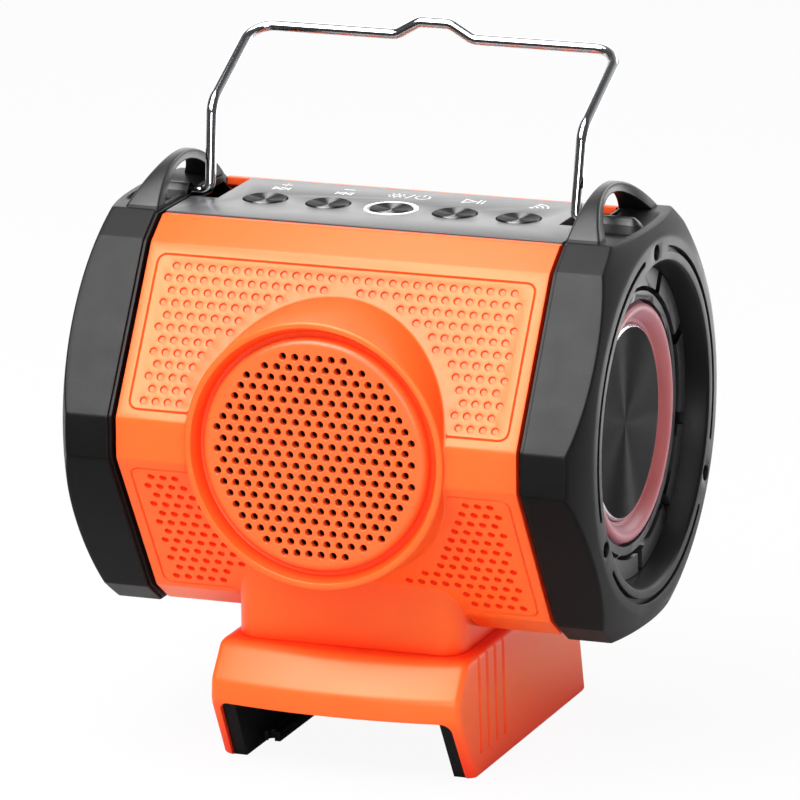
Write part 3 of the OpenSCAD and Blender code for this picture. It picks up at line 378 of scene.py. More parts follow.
def shell_mesh(side, sheet, skin, in_hole, extra):
    """The dimpled skin with its returned edges, its half of the neck and what stands in its holes."""
    ends, last = HALF_LEN - RIM_SOFT, skin.along[-1]
    reach = NECK_FRONT if side < 0 else NECK_BACK
    outer, wall = neck_outline(side, NECK_FILLET), neck_outline(side, 0)
    for s in skin.along:
        sheet.line([(-ends, s), (ends, s)])
    for x in (-ends, ends):
        sheet.line([(x, s) for s in skin.along])
    sheet.line([(x, skin.under(y)) for x, y in outer])

    def on_skin(x, s, deep=0.0):
        return skin.place(x, min(max(s, 0), last), deep)

    def is_skin(middle):
        x, y, z = on_skin(*middle)
        dx, dy = max(abs(x) - (NECK_X - NECK_R), 0), max(abs(y) - (reach - NECK_R), 0)
        in_neck = z < -30 and math.hypot(dx, dy) < NECK_R + NECK_FILLET - 1e-4
        return not in_neck and not in_hole(x, y, z)

    def inward(s):
        """Direction into the barrel, shared by the two flats that meet at a corner."""
        near = (max(s - 0.01, 0), min(s + 0.01, last))
        before, after = (Vector(skin.place(0, q, 1)) - Vector(skin.place(0, q)) for q in near)
        return (before + after).normalized()

    parts = [sheet.filled(on_skin, is_skin)]
    # Returned edges at both ends and along the panel
    bend = ((RIM_SOFT, 0), (RIM_SOFT / 4, RIM_SOFT / 4), (0, RIM_SOFT), (0, RIM_IN))
    for x in (-1, 1):
        rim = [tuple(Vector(skin.place(x * (HALF_LEN - back), s)) + inward(s) * deep_in)
               for back, deep_in in bend for s in skin.along]
        parts.append((rim, grid_faces(4, len(skin.along))))
    edge = ((PANEL_SOFT, 0), (PANEL_SOFT / 4, -0.3 * PANEL_SOFT), (0, -PANEL_SOFT), (0, -PANEL_DEEP))
    parts.append(([(x, side * (PANEL_EDGE + y), CROWN[1] + z) for y, z in edge for x in (-ends, ends)],
                  grid_faces(4, 2)))
    # Fillet and upright wall of the neck
    neck = []
    for k in range(6):
        for a, b in zip(outer, wall):
            top, knee = skin.place(a[0], skin.under(a[1])), skin.place(b[0], skin.under(b[1]))
            neck.append(tuple(bezier(top, knee, (knee[0], knee[1], knee[2] - NECK_FILLET), k / 5)))
    for grow, lift in ((0, 0.5), (-0.15, 0.12), (-0.6, 0), (-3, 0)):
        neck += [(x, side * y, NECK_FOOT + lift) for x, y in neck_outline(side, grow)]
    parts.append((neck, grid_faces(10, len(outer))))
    return merged(*parts, extra)


def grain_group(name):
    """Fine grain and slow mottling of a moulded or cast surface, by their sizes in metres."""
    group = bpy.data.node_groups.new(name, "ShaderNodeTree")
    kinds = (("Grain", 2.0), ("Mottle", 4.0))
    for out, _ in kinds:
        group.interface.new_socket(out + " Size", in_out="INPUT", socket_type="NodeSocketFloat")
        group.interface.new_socket(out, in_out="OUTPUT", socket_type="NodeSocketFloat")
    entry, leave = group.nodes.new("NodeGroupInput"), group.nodes.new("NodeGroupOutput")
    place = group.nodes.new("ShaderNodeTexCoord")
    for out, detail in kinds:
        scale = add_node(group, "ShaderNodeMath", {0: 1.0, 1: entry.outputs[out + " Size"]})
        scale.operation = "DIVIDE"
        noise = add_node(group, "ShaderNodeTexNoise", {"Detail": detail, "Vector": place.outputs["Object"],
                                                       "Scale": scale.outputs[0]})
        feed(group, leave, {out: noise.outputs["Fac"]})
    return group


MOULD_GRAIN = grain_group("mould_grain")


def blend(tree, factor, a, b):
    """A colour between two others."""
    mix = tree.nodes.new("ShaderNodeMix")
    mix.data_type = "RGBA"
    feed(tree, mix, {"Factor": factor, "A": a, "B": b})
    return mix.outputs["Result"]


def moulded(name, colour, roughness, grain=0.35, deep=0.012, mottle=14, spread=0.06, gloss_spread=0.06,
            plain=None):
    """A moulded finish, sizes in millimetres: slow drifts of colour and gloss under a spark-eroded grain."""
    material, tree = new_material(name)
    look = tree.nodes.new("ShaderNodeGroup")
    look.node_tree = MOULD_GRAIN
    feed(tree, look, {"Grain Size": grain * MM, "Mottle Size": mottle * MM})
    tint = blend(tree, look.outputs["Mottle"], (*[c * (1 - spread) for c in colour], 1),
                 (*[min(c * (1 + spread), 1) for c in colour], 1))
    gloss = ranged(tree, look.outputs["Mottle"], (0, 1),
                   (roughness - gloss_spread, roughness + gloss_spread))
    bump = add_node(tree, "ShaderNodeBump", {"Strength": 1.0, "Distance": deep * MM,
                                             "Height": look.outputs["Grain"]})
    feed(tree, tree.nodes["Principled BSDF"], {"Base Color": tint, "Roughness": gloss.outputs[0],
                                               "Normal": bump.outputs[0], **(plain or {})})
    return material


def paint_hollow_shade(material, colour, reach):
    """Painted shade: a deeper colour painted into the hollows of a finish, standing in for the light that
    bounces between two of its walls.
    """
    tree = material.node_tree
    open_sky = add_node(tree, "ShaderNodeAmbientOcclusion", {"Distance": reach * MM})
    open_sky.samples = 8
    share = ranged(tree, open_sky.outputs["AO"], (0.35, 1), (0, 1))
    surface = tree.nodes["Principled BSDF"]
    face = surface.inputs["Base Color"].links[0].from_socket
    feed(tree, surface, {"Base Color": blend(tree, share.outputs[0], (*colour, 1), face)})
    return material


orange = moulded("satin_orange_plastic", (0.92, 0.120, 0.015), 0.36,
                 plain={"Specular Tint": (1, 0.97, 0.68, 1)})
# Painted shade: dimples, grooves, the neck and other hollows of the orange take a deeper red in their base
# colour.
paint_hollow_shade(orange, (0.92, 0.030, 0.004), 24)
front_skin, front_sheet = Skin(-1), Sheet()


def skin_front(z):
    return -front_skin.place(0, front_skin.at_height(z))[1]


def drum_radius(h):
    """Outer radius of the pod's drum at a distance in front of the axis, with the mould's draft."""
    return LIP_R + DRUM_DRAFT * max(LIP_FOOT - h, 0)


def drum_foot(rise):
    """Radius at which the drum meets the skin, in a direction of that rise."""
    r = LIP_R
    for _ in range(12):
        r = drum_radius(skin_front(r * rise))
    return r


drum_columns, drum_hole = [], []
for i in range(POD_SIDES):
    angle = 2 * math.pi * (i + 0.5) / POD_SIDES
    c, s = math.cos(angle), math.sin(angle)
    r = drum_foot(s)
    wide, h = r + POD_FILLET, skin_front(r * s)
    drum_hole.append((wide * c, front_skin.at_height(wide * s)))
    lift = min(h + POD_FILLET, LIP_FOOT)
    column = [tuple(bezier((wide, skin_front(wide * s)), (r, h), (drum_radius(lift), lift), t / 4))
              for t in range(5)]
    for t in range(1, DRUM_STEPS + 1):
        out = lift + (LIP_FOOT - lift) * t / DRUM_STEPS
        column.append((drum_radius(out), out + 0.01 * t))
    drum_columns.append([(q * c, -out, q * s) for q, out in column + list(LIP)])
drum = ([point for row in zip(*drum_columns) for point in row],
        grid_faces(len(drum_columns[0]), POD_SIDES, closed=True))
front_sheet.line(drum_hole, closed=True)


def clear_of_pod(x, z):
    return math.hypot(x, z) > POD_CLEAR_HIGH


def clear_of_neck(x, z):
    aside, ahead = abs(x) - NECK_X + NECK_R, skin_front(z) - NECK_FRONT + NECK_R
    beside = math.hypot(max(aside, 0), max(ahead, 0)) - NECK_R
    return math.hypot(x, z) > POD_CLEAR_LOW and beside > (NECK_CLEAR if abs(x) < CORNER_X else CORNER_CLEAR)


def in_pod(x, y, z):
    r = math.hypot(x, z)
    return y < -20 and abs(z) < 50 and r < drum_foot(z / max(r, 1e-6)) + POD_FILLET - 0.02


dimple_rows(front_sheet, front_skin, SHOULDER[1], *DIMPLES_HIGH, clear_of_pod)
dimple_rows(front_sheet, front_skin, -WAIST[1], *DIMPLES_LOW, clear_of_neck)
high, low = LINES_HIGH
front_sheet.groove(front_skin.on_slope(SHOULDER[1], (
    (-43, low), (-LINE_X, low), (-LINE_X, high), (LINE_X, high), (LINE_X, low), (43, low))))
high, low = LINES_LOW
for side in (-1, 1):
    front_sheet.groove(front_skin.on_slope(-WAIST[1], (
        (side * 43.5, high), (side * LINE_X, high), (side * LINE_X, low), (side * 41.0, low))))
front_shape = shell_mesh(-1, front_sheet, front_skin, in_pod, drum)
add_piece("front_shell_skin", front_shape, orange, "housing", "orange_plastic", ["front_shell"], sharp=30,
          inside=(0, 0, 0))

# Rear shell: the other half of the barrel, moulded in the same orange with the same dimples and lines.
# Four long screws reach the front shell through round wells in its slopes.
WELL_X, WELL_Z, WELL_R, WELL_END, WELL_CLEAR, WELL_SIDES = 58.1, 44.3, 2.75, 16, 2.2, 24
rear_skin, rear_sheet = Skin(1), Sheet()


def from_well(x, z):
    return math.hypot(abs(x) - WELL_X, abs(z) - WELL_Z) - WELL_R


def clear_of_wells(x, z):
    return from_well(x, z) > WELL_CLEAR


def in_well(x, y, z):
    return y > 20 and from_well(x, z) < -0.02


dimple_rows(rear_sheet, rear_skin, SHOULDER[1], *DIMPLES_HIGH, clear_of_wells)
dimple_rows(rear_sheet, rear_skin, -WAIST[1], *DIMPLES_LOW, clear_of_wells)
for top, (high, low) in ((SHOULDER[1], LINES_HIGH), (-WAIST[1], LINES_LOW)):
    rear_sheet.groove(rear_skin.on_slope(top, (
        (-LINE_X, high), (LINE_X, high), (LINE_X, low), (-LINE_X, low))), closed=True)
wells = []
for x, z in ((-WELL_X, -WELL_Z), (-WELL_X, WELL_Z), (WELL_X, -WELL_Z), (WELL_X, WELL_Z)):
    ring = [(px, rear_skin.at_height(pz), pz) for px, pz in circle(WELL_R, WELL_SIDES, x, z)]
    rear_sheet.line([(px, s) for px, s, _ in ring], closed=True)
    rims = [rear_skin.place(px, s) for px, s, _ in ring] + [(px, WELL_END, pz) for px, _, pz in ring]
    wells.append((rims, grid_faces(2, WELL_SIDES, closed=True)))
rear_shape = shell_mesh(1, rear_sheet, rear_skin, in_well, merged(*wells))
add_piece("rear_shell_skin", rear_shape, orange, "housing", "orange_plastic", ["rear_shell"], sharp=30,
          inside=(0, 0, 0))

# Speaker grille: a round orange moulding pressed into the pod's mouth, with a rounded edge and a
# field of small round holes in staggered rows. The black driver shows dark behind the holes.
GRILLE_FACE, GRILLE_BACK, FACE_R, GRILLE_SIDES = 69.2, 66.9, 34.5, 120
GRILLE_EDGE = ((36.95, 64.6), (36.95, 67.0), (36.85, 67.55), (36.55, 68.15), (36.1, 68.62), (35.55, 68.95),
               (35.0, 69.13), (FACE_R, GRILLE_FACE))
HOLE_R, HOLE_SOFT, HOLE_PITCH, HOLE_SIDES, FIELD_DROP = 1.2, 0.15, 4.0, 14, 0.4
ROW_HOLES = (6, 9, 12, 13, 14, 15, 16, 17, 16)


def turned(profile, axis, sides, centre=(0, 0, 0)):
    """A profile of (radius, along) points turned about a line through the centre."""
    verts = []
    for r, along in profile:
        for point in circle(r, sides):
            place = list(point)
            place.insert("xyz".index(axis), along)
            verts.append(tuple(c + p for c, p in zip(centre, place)))
    return verts, grid_faces(len(profile), sides, closed=True)


face_sheet = Sheet()
face_sheet.line(circle(FACE_R, GRILLE_SIDES), closed=True)
hole_centres = []
for row, count in enumerate(ROW_HOLES + (17,) + ROW_HOLES[::-1]):
    z = HOLE_PITCH * math.sqrt(3) / 2 * (len(ROW_HOLES) - row) - FIELD_DROP
    hole_centres += [(HOLE_PITCH * (k - (count - 1) / 2), z) for k in range(count)]
nearest_hole = kdtree.KDTree(len(hole_centres))
hole_profile = [(HOLE_R + HOLE_SOFT, -GRILLE_FACE), (HOLE_R + 0.03, 0.1 - GRILLE_FACE),
                (HOLE_R, 0.3 - GRILLE_FACE), (HOLE_R, -GRILLE_BACK)]
grille_parts = [turned([(r, -h) for r, h in GRILLE_EDGE], "y", GRILLE_SIDES)]
for i, (x, z) in enumerate(hole_centres):
    nearest_hole.insert((x, z, 0), i)
    face_sheet.line(circle(HOLE_R + HOLE_SOFT, HOLE_SIDES, x, z), closed=True)
    grille_parts.append(turned(hole_profile, "y", HOLE_SIDES, (x, 0, z)))
nearest_hole.balance()


def between_holes(middle):
    return middle.length < FACE_R and nearest_hole.find(middle.to_3d())[2] > HOLE_R + 0.1


grille_parts.append(face_sheet.filled(lambda x, z, deep: (x, deep - GRILLE_FACE, z), between_holes))
grille_orange = moulded("grille_orange_plastic", (0.92, 0.125, 0.018), 0.36)
add_piece("speaker_grille_face", merged(*grille_parts), grille_orange, "housing", "orange_plastic",
          ["speaker_grille"], sharp=40, inside=(0, 0, 0))

# End caps: two deep dark-grey mouldings with a fine grain that close the barrel. Each carries an arched
# guard over the handle's pivot, three sunk screws and three arc-shaped slots round its mouth.
CAP_X, CAP_PROUD, RING_X, RING_R, RING_SOFT = 67.3, 1.2, 87.8, 59.0, 0.7
MOUTH_R, MOUTH_SOFT, MOUTH_SIDES, THROAT_R, SEAT_X, SEAT_R = 51.5, 0.9, 120, 49.5, 77.0, 52.3
DOME_R, DOME_MID_R, DOME_MID_X, HOLLOW_W, HOLLOW_DEEP = 41.0, 47.01, 48.59, 38.0, 2.2
SCREW_PCR, SCREW_WELL_R, SLOT_W, SLOT_DEEP, SLOT_SPAN, SLOT_STEPS = 55.3, 2.5, 1.7, 1.8, 96, 40
GUARD_SPAN, GUARD_GAP, GUARD_RISE, GUARD_T, GUARD_FOOT, GUARD_TOP = 56.0, 43.0, 12.6, 3.3, 11.6, 3.6
MOUND_X, MOUND_RISE, MOUND_END, MOUND_HALF = 79.6, 4.8, 5.4, 5.2
FLAT_STEPS = (0, 0.02, 0.045, 0.1, 0.2, 0.35, 0.5, 0.65, 0.8, 0.88, 0.91, 1)
CAP_TOP = CROWN[1] + CAP_PROUD
quarter = [WAIST, SHOULDER, CROWN]
hexagon = (quarter + [(-y, z) for y, z in reversed(quarter)] + [(-y, -z) for y, z in quarter]
           + [(y, -z) for y, z in reversed(quarter)])


def grown(points, by):
    """A closed counter-clockwise outline moved outwards by the same distance all round."""
    moved = []
    for i in range(len(points)):
        a, b, c = (Vector(points[(i + k) % len(points)]) for k in (-1, 0, 1))
        n = Vector(((b - a).y, (a - b).x)).normalized()
        m = Vector(((c - b).y, (b - c).x)).normalized()
        moved.append(b + (n + m) * by / (1 + n.dot(m)))
    return moved


def ray(radius, angle):
    return (radius * math.cos(angle), radius * math.sin(angle))


cap_outline = rounded(grown(hexagon, CAP_PROUD), [2.2, 2.0, 1.5, 1.5, 2.0, 2.2] * 2, closed=True)
polar = sorted((math.atan2(p.y, p.x), p.length) for p in cap_outline)
polar = [(polar[-1][0] - 2 * math.pi, polar[-1][1])] + polar + [(polar[0][0] + 2 * math.pi, polar[0][1])]
cap_angles = []
for (a0, _), (a1, _) in zip(polar, polar[1:]):
    steps = max(1, math.ceil((a1 - a0) / math.radians(1.6)))
    cap_angles += [a0 + (a1 - a0) * k / steps for k in range(steps)]
cap_angles = sorted(a for a in cap_angles if -math.pi < a <= math.pi)


def cap_reach(angle):
    """Distance from the axis to the cap's flats in a direction round the barrel."""
    for (a0, r0), (a1, r1) in zip(polar, polar[1:]):
        if a0 <= angle <= a1:
            p, q = Vector(ray(r0, a0)), Vector(ray(r1, a1))
            n = Vector((q.y - p.y, p.x - q.x))
            return n.dot(p) / n.dot(Vector(ray(1, angle)))


def dome_x(r):
    return DOME_MID_X + math.sqrt(DOME_R ** 2 - (r - DOME_MID_R) ** 2)


def cap_profile(angle):
    """Points (along, out) from the rim step over the flat, the dome and the ring face's edge."""
    reach = cap_reach(angle)
    edge, drop = dome_x(reach), reach - 0.45
    path = [(CAP_X + x, reach - sunk) for x, sunk in (
        (0, 3.4), (0, 1.15), (0.12, 1.0), (0.95, 1.0), (1.0, 0.45), (1.15, 0.12), (1.55, 0))]
    start, end = CAP_X + 1.6, edge - 0.5
    lens = max(0.0, 1 - (2 * reach * math.cos(angle) / HOLLOW_W) ** 2) if math.sin(angle) > 0 else 0.0
    for t in FLAT_STEPS:
        path.append((start + (end - start) * t, reach - (HOLLOW_DEEP * lens if 0.03 < t < 0.9 else 0.0)))
    for t in (0.33, 0.67, 1.0):
        path.append(tuple(bezier((end, reach), (edge - 0.02, reach - 0.01), (dome_x(drop), drop), t)))
    for k in range(1, 10):
        r = drop + (RING_R + 0.5 - drop) * k / 9
        path.append((dome_x(r), r))
    return path + [(RING_X - 0.06, RING_R - 0.1), (RING_X, RING_R - RING_SOFT)]


def slot_loop(middle, half):
    """Outline of an arc-shaped slot with round ends."""
    start = middle - SLOT_SPAN / 2
    angles = [math.radians(start + SLOT_SPAN * k / SLOT_STEPS) for k in range(SLOT_STEPS + 1)]

    def round_end(angle, ahead):
        x, y = ray(SCREW_PCR, angle)
        turns = [ray(half, angle + math.pi * k / 6 + ahead) for k in range(1, 6)]
        return [(x + px, y + py) for px, py in turns]

    return ([ray(SCREW_PCR + half, a) for a in angles] + round_end(angles[-1], 0)
            + [ray(SCREW_PCR - half, a) for a in reversed(angles)] + round_end(angles[0], math.pi))


def ring_face(wells):
    """The cap's flat ring with its arc slots, open at the mouth and at the screws' wells."""
    sheet = Sheet()
    sheet.line([ray(RING_R - RING_SOFT, a) for a in cap_angles], closed=True)
    sheet.line(circle(MOUTH_R + MOUTH_SOFT, MOUTH_SIDES), closed=True)
    for middle in (30, 150, 270):
        for grow, deep in ((0.12, 0), (-0.05, 0.25), (-0.12, SLOT_DEEP)):
            sheet.line(slot_loop(middle, SLOT_W / 2 + grow), deep, closed=True)
    for well in wells:
        sheet.line(circle(SCREW_WELL_R + 0.25, WELL_SIDES, *well), closed=True)

    def in_ring(middle):
        return (middle.length > MOUTH_R + MOUTH_SOFT - 0.02
                and all(math.dist(middle, well) > SCREW_WELL_R + 0.2 for well in wells))

    return sheet.filled(lambda y, z, deep: (RING_X - deep, y, z), in_ring)


def arch_point(span, rise, t):
    """Point on an arch at a share of the way from its middle to a foot sunk in the cap."""
    radius = (span ** 2 / 4 + rise ** 2) / (2 * rise)
    angle = t * math.asin(min(1, (span / 2 + 0.3) / radius))
    return Vector((radius * math.sin(angle), rise - radius + radius * math.cos(angle)))


def guard_arch(stations=40):
    """Guard over the pivot, narrowing towards its top, with rounded edges."""
    verts = []
    for k in range(stations + 1):
        t = -1 + 2 * k / stations
        top, low = arch_point(GUARD_SPAN, GUARD_RISE, t), arch_point(GUARD_GAP, GUARD_RISE - GUARD_T, t)
        share = max(0.0, min(1.0, top.y / GUARD_RISE))
        x0, x1 = CAP_X + 0.3 + 2.0 * share, CAP_X + GUARD_FOOT - (GUARD_FOOT - GUARD_TOP - 2.3) * share
        thick, out = (top - low).length, (top - low).normalized()
        box = [(x0, 0), (x1, 0), (x1, thick), (x0, thick)]
        section = rounded(box, (0.6, 0.6, 1.0, 0.9), 4, closed=True)
        for p in section:
            q = low + out * p.y
            verts.append((p.x, q.x, CAP_TOP + q.y - 0.05))
    return verts, grid_faces(stations + 1, len(section), closed=True)


def pivot_mound(along=61, across=37, length=17.2, half=6.4):
    """Low mound under the arch that covers the end of the wire."""
    verts = []
    for i in range(along):
        x = CAP_X + 0.4 + length * i / (along - 1)
        for j in range(across):
            y = -half + 2 * half * j / (across - 1)
            spread = math.hypot(max(x - MOUND_X, 0) / MOUND_END, y / MOUND_HALF)
            bed = CAP_TOP - HOLLOW_DEEP * (1 - (2 * y / HOLLOW_W) ** 2) - 0.12
            verts.append((x, y, bed + MOUND_RISE * math.cos(math.pi / 2 * min(1, spread)) ** 1.35))
    return verts, grid_faces(along, across)


def second_finish(piece, material, takes):
    """Another finish for the faces of a piece whose middle passes a test."""
    piece.data.materials.append(material)
    for face in piece.data.polygons:
        face.material_index = 1 if takes(face.center) else 0


profiles = [cap_profile(a) for a in cap_angles]
cap_body = ([(x, *ray(r, a)) for row in zip(*profiles) for (x, r), a in zip(row, cap_angles)],
            grid_faces(len(profiles[0]), len(cap_angles), closed=True))
mouth = [(MOUTH_R + MOUTH_SOFT, RING_X), (MOUTH_R + 0.4, RING_X - 0.12), (MOUTH_R + 0.05, RING_X - 0.5),
         (MOUTH_R - 0.25, RING_X - 1.2), (THROAT_R, RING_X - 6.8), (THROAT_R, SEAT_X + 0.05),
         (SEAT_R, SEAT_X + 0.05)]
screw_wells = [ray(SCREW_PCR, math.radians(a)) for a in (90, 210, 330)]
well_profile = [(SCREW_WELL_R + wider, RING_X - sunk) for wider, sunk in (
    (0.25, 0), (0.08, 0.08), (0, 0.3), (0, 6.5))]
cap_verts, cap_faces = merged(
    cap_body, turned(mouth, "x", MOUTH_SIDES),
    *[turned(well_profile, "x", WELL_SIDES, (0, *well)) for well in screw_wells],
    ring_face(screw_wells), guard_arch(), pivot_mound())
cap_grey = moulded("grained_dark_grey_plastic", (0.006, 0.006, 0.0062), 0.43, grain=0.5, deep=0.03,
                   mottle=9, spread=0.12, gloss_spread=0.07, plain={"Specular IOR Level": 0.2})
guard_grey = moulded("satin_guard_plastic", (0.008, 0.008, 0.0082), 0.36, grain=0.5, mottle=9, spread=0.12)
for side, name in ((1, "right"), (-1, "left")):
    cap_shape = ([(side * x, y, z) for x, y, z in cap_verts],
                 [f if side > 0 else f[::-1] for f in cap_faces])
    cap = add_piece(name + "_end_cap_skin", cap_shape, cap_grey, "housing", "grey_plastic",
                    [name + "_end_cap"], sharp=28, inside=(side * 60, 0, 0))
    second_finish(cap, guard_grey, lambda middle: middle.z > AXIS.z + (CAP_TOP + 0.3) * MM)

# Passive radiators: a weighted metal disc on a red rubber half-roll in each cap, held by a black frame
# with a raised lip and notched segments. The disc is spun, and pumps in and out with the air inside.
FRAME_SOFT, DISC_R, DISC_X, DISC_BACK, RIM_R, RADIATOR_SIDES = 0.35, 31.0, 78.0, 75.05, 30.1, 128
ROLL_IN, ROLL_OUT, ROLL_X, ROLL_RISE, CREST_R, ROLL_EDGE = 31.25, 38.72, 77.0, 3.7, 36.3, 37.8


def softened(name, node, width, material, body, slot, sharp=32):
    """A copy of a CAD node with its edges broken by a small round, as a moulding has."""
    shape = bmesh.new()
    shape.from_mesh(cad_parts[node].data)
    bmesh.ops.remove_doubles(shape, verts=shape.verts, dist=1e-6)
    bmesh.ops.dissolve_limit(shape, angle_limit=math.radians(0.6), verts=shape.verts, edges=shape.edges)
    edges = [e for e in shape.edges if len(e.link_faces) == 2 and e.calc_face_angle(0) > math.radians(25)]
    bmesh.ops.bevel(shape, geom=edges, offset=width * MM, offset_type="OFFSET", segments=3, profile=0.5,
                    affect="EDGES", clamp_overlap=True)
    mesh = bpy.data.meshes.new(name)
    shape.to_mesh(mesh)
    shape.free()
    return finish_piece(name, mesh, material, body, slot, [node], sharp)


def spun_metal(name, colour, roughness, anisotropy, axis, line_count, plain=None):
    """Lathe-turned metal: fine rings round the axis, and a highlight that opens out into wedges."""
    material, tree = new_material(name)
    tangent = tree.nodes.new("ShaderNodeTangent")
    tangent.direction_type, tangent.axis = "RADIAL", axis
    place = tree.nodes.new("ShaderNodeTexCoord")
    middle = add_node(tree, "ShaderNodeVectorMath", {0: place.outputs["Generated"], 1: (0.5, 0.5, 0.5)})
    middle.operation = "SUBTRACT"
    flat = add_node(tree, "ShaderNodeVectorMath", {0: middle.outputs[0],
                                                   1: (0, 1, 1) if axis == "X" else (1, 1, 0)})
    flat.operation = "MULTIPLY"
    radius = add_node(tree, "ShaderNodeVectorMath", {0: flat.outputs[0]})
    radius.operation = "LENGTH"
    rings = tree.nodes.new("ShaderNodeTexNoise")
    rings.noise_dimensions = "1D"
    feed(tree, rings, {"Scale": line_count, "Detail": 3.0, "W": radius.outputs["Value"]})
    shade = rings.outputs["Fac"]
    tint = blend(tree, shade, (*[c * 0.8 for c in colour], 1), (*[c * 1.2 for c in colour], 1))
    gloss = ranged(tree, shade, (0, 1), (roughness * 0.8, roughness * 1.2))
    bump = add_node(tree, "ShaderNodeBump", {"Strength": 0.35, "Distance": 0.01 * MM, "Height": shade})
    feed(tree, tree.nodes["Principled BSDF"], {
        "Metallic": 1.0, "Anisotropic": anisotropy, "Anisotropic Rotation": 0.25,
        "Tangent": tangent.outputs[0], "Base Color": tint, "Roughness": gloss.outputs[0],
        "Normal": bump.outputs[0], **(plain or {})})
    return material


frame_black = moulded("radiator_frame_plastic", (0.022, 0.022, 0.024), 0.40, grain=0.4, spread=0.15)
DULL_EDGE = {"Specular Tint": (0.3, 0.3, 0.3, 1)}
disc_metal = spun_metal("spun_radiator_metal", (0.08, 0.08, 0.081), 0.44, 0.97, "X", 90, DULL_EDGE)
rim_metal = spun_metal("cut_rim_metal", (0.75, 0.75, 0.76), 0.16, 0.3, "X", 90)
red_rubber = moulded("red_surround_rubber", (0.40, 0.085, 0.085), 0.40, grain=0.25, deep=0.006, mottle=6,
                     spread=0.10, plain={"Sheen Weight": 0.35, "Sheen Tint": (0.85, 0.7, 1.0, 1)})
crest, bead = (CREST_R, ROLL_RISE), ROLL_EDGE
roll = [(ROLL_IN, -0.7), (ROLL_IN, 0.05), (ROLL_IN + 0.35, 0.35), (ROLL_IN + 0.8, 0.45)]
roll += [bezier((ROLL_IN + 1.0, 0.5), (ROLL_IN + 2.6, ROLL_RISE), crest, k / 12) for k in range(13)]
roll += [bezier(crest, (bead, ROLL_RISE), (bead, 1.8), k / 8) for k in range(1, 9)]
roll += [(bead + 0.05, 0.6), (bead + 0.3, 0.35), (ROLL_OUT, 0.3), (ROLL_OUT, -0.7)]
surround = [(r, ROLL_X + x) for r, x in roll]
disc = [(r, DISC_X - sunk) for r, sunk in (
    (0.01, 0.55), (8, 0.5), (20, 0.32), (29.2, 0.08), (RIM_R, 0), (30.35, 0.08), (30.8, 0.5),
    (DISC_R, 0.85))]
disc += [(DISC_R, DISC_BACK), (0.01, DISC_BACK)]
for side, name in ((1, "right"), (-1, "left")):
    softened(name + "_radiator_frame_ring", name + "_radiator_frame", FRAME_SOFT, frame_black, "housing",
             "black_plastic")
    for part, profile, material, body, slot in (
            ("surround_roll", surround, red_rubber, "housing", "red_rubber"),
            ("disc_face", disc, disc_metal, name + "_radiator", "spun_metal")):
        shape = turned([(r, side * x) for r, x in profile], "x", RADIATOR_SIDES)
        piece = add_piece(name + "_radiator_" + part, shape, material, body, slot,
                          [name + "_radiator_" + part.split("_")[0]], sharp=40, inside=(side * 70, 0, 0))
    second_finish(piece, rim_metal, lambda middle: (middle - AXIS).yz.length > RIM_R * MM)

# Control panel: a flat dark-grey plate let into the barrel's top, with round holes for five buttons.
# Its ends are cut away for the handle's legs, and white generic signs are printed behind the buttons.
PLATE_SOFT, PANEL_PROUD = 0.22, 0.45
SIGN_Y, SIGN_SIZE, SIGN_STROKE, INK_LOW, INK_TOP = 16.6, 1.22, 0.6, -0.05, 0.03
BUTTONS = ("volume_up", "volume_down", "power", "play", "pair")
button_x = {b: sum(p.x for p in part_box(b + "_button")) / 2 / MM for b in BUTTONS}
panel_grey = moulded("control_panel_plastic", (0.055, 0.055, 0.058), 0.34, grain=0.3, deep=0.008,
                     spread=0.10)
panel = softened("control_panel_plate", "control_panel", PLATE_SOFT, panel_grey, "housing", "grey_plastic")
for vertex in panel.data.vertices:
    if vertex.co.z > AXIS.z + (CROWN[1] - 0.6) * MM:
        vertex.co.z += PANEL_PROUD * MM
print_white = moulded("white_print", (0.75, 0.75, 0.74), 0.5, grain=0.15, deep=0.004, spread=0.05)


def arc_line(x, y, r, start, end, steps=16):
    turns = [ray(r, math.radians(start + (end - start) * k / steps)) for k in range(steps + 1)]
    return [(x + px, y + py) for px, py in turns]


def sign_lines(sign):
    """Strokes of a panel sign about its own centre, in millimetres."""
    dash, upright_dash = [(-1.5, 2.2), (1.5, 2.2)], [(0, 0.7), (0, 3.7)]
    skip = [[(-2.1, -3.1), (-0.2, -2), (-2.1, -0.9), (-2.1, -3.1)],
            [(-0.1, -3.1), (1.8, -2), (-0.1, -0.9), (-0.1, -3.1)], [(2.1, -3.1), (2.1, -0.9)]]
    if sign == "volume_up":
        return [dash, upright_dash] + skip
    if sign == "volume_down":
        return [dash] + [[(-x, y) for x, y in line] for line in skip]
    if sign == "power":
        rays = [[(-3.6 + r * math.cos(a), r * math.sin(a)) for r in (1.7, 2.4)]
                for a in (math.radians(45 * k) for k in range(8))]
        return rays + [arc_line(-3.6, 0, 1.0, 0, 360), [(-0.6, -2.2), (0.8, 2.2)],
                       arc_line(3.6, 0, 1.9, 125, 415), [(3.6, 0.4), (3.6, 2.4)]]
    if sign == "play":
        bars = [[(x, -1.9), (x, 1.9)] for x in (1.7, 2.8)]
        return [[(-2.4, -1.9), (0.9, 0), (-2.4, 1.9), (-2.4, -1.9)]] + bars
    return [arc_line(-0.9, -1.6, r, 5, 85) for r in (1.6, 3.0, 4.4)] + [arc_line(-0.9, -1.6, 0.35, 0, 360)]


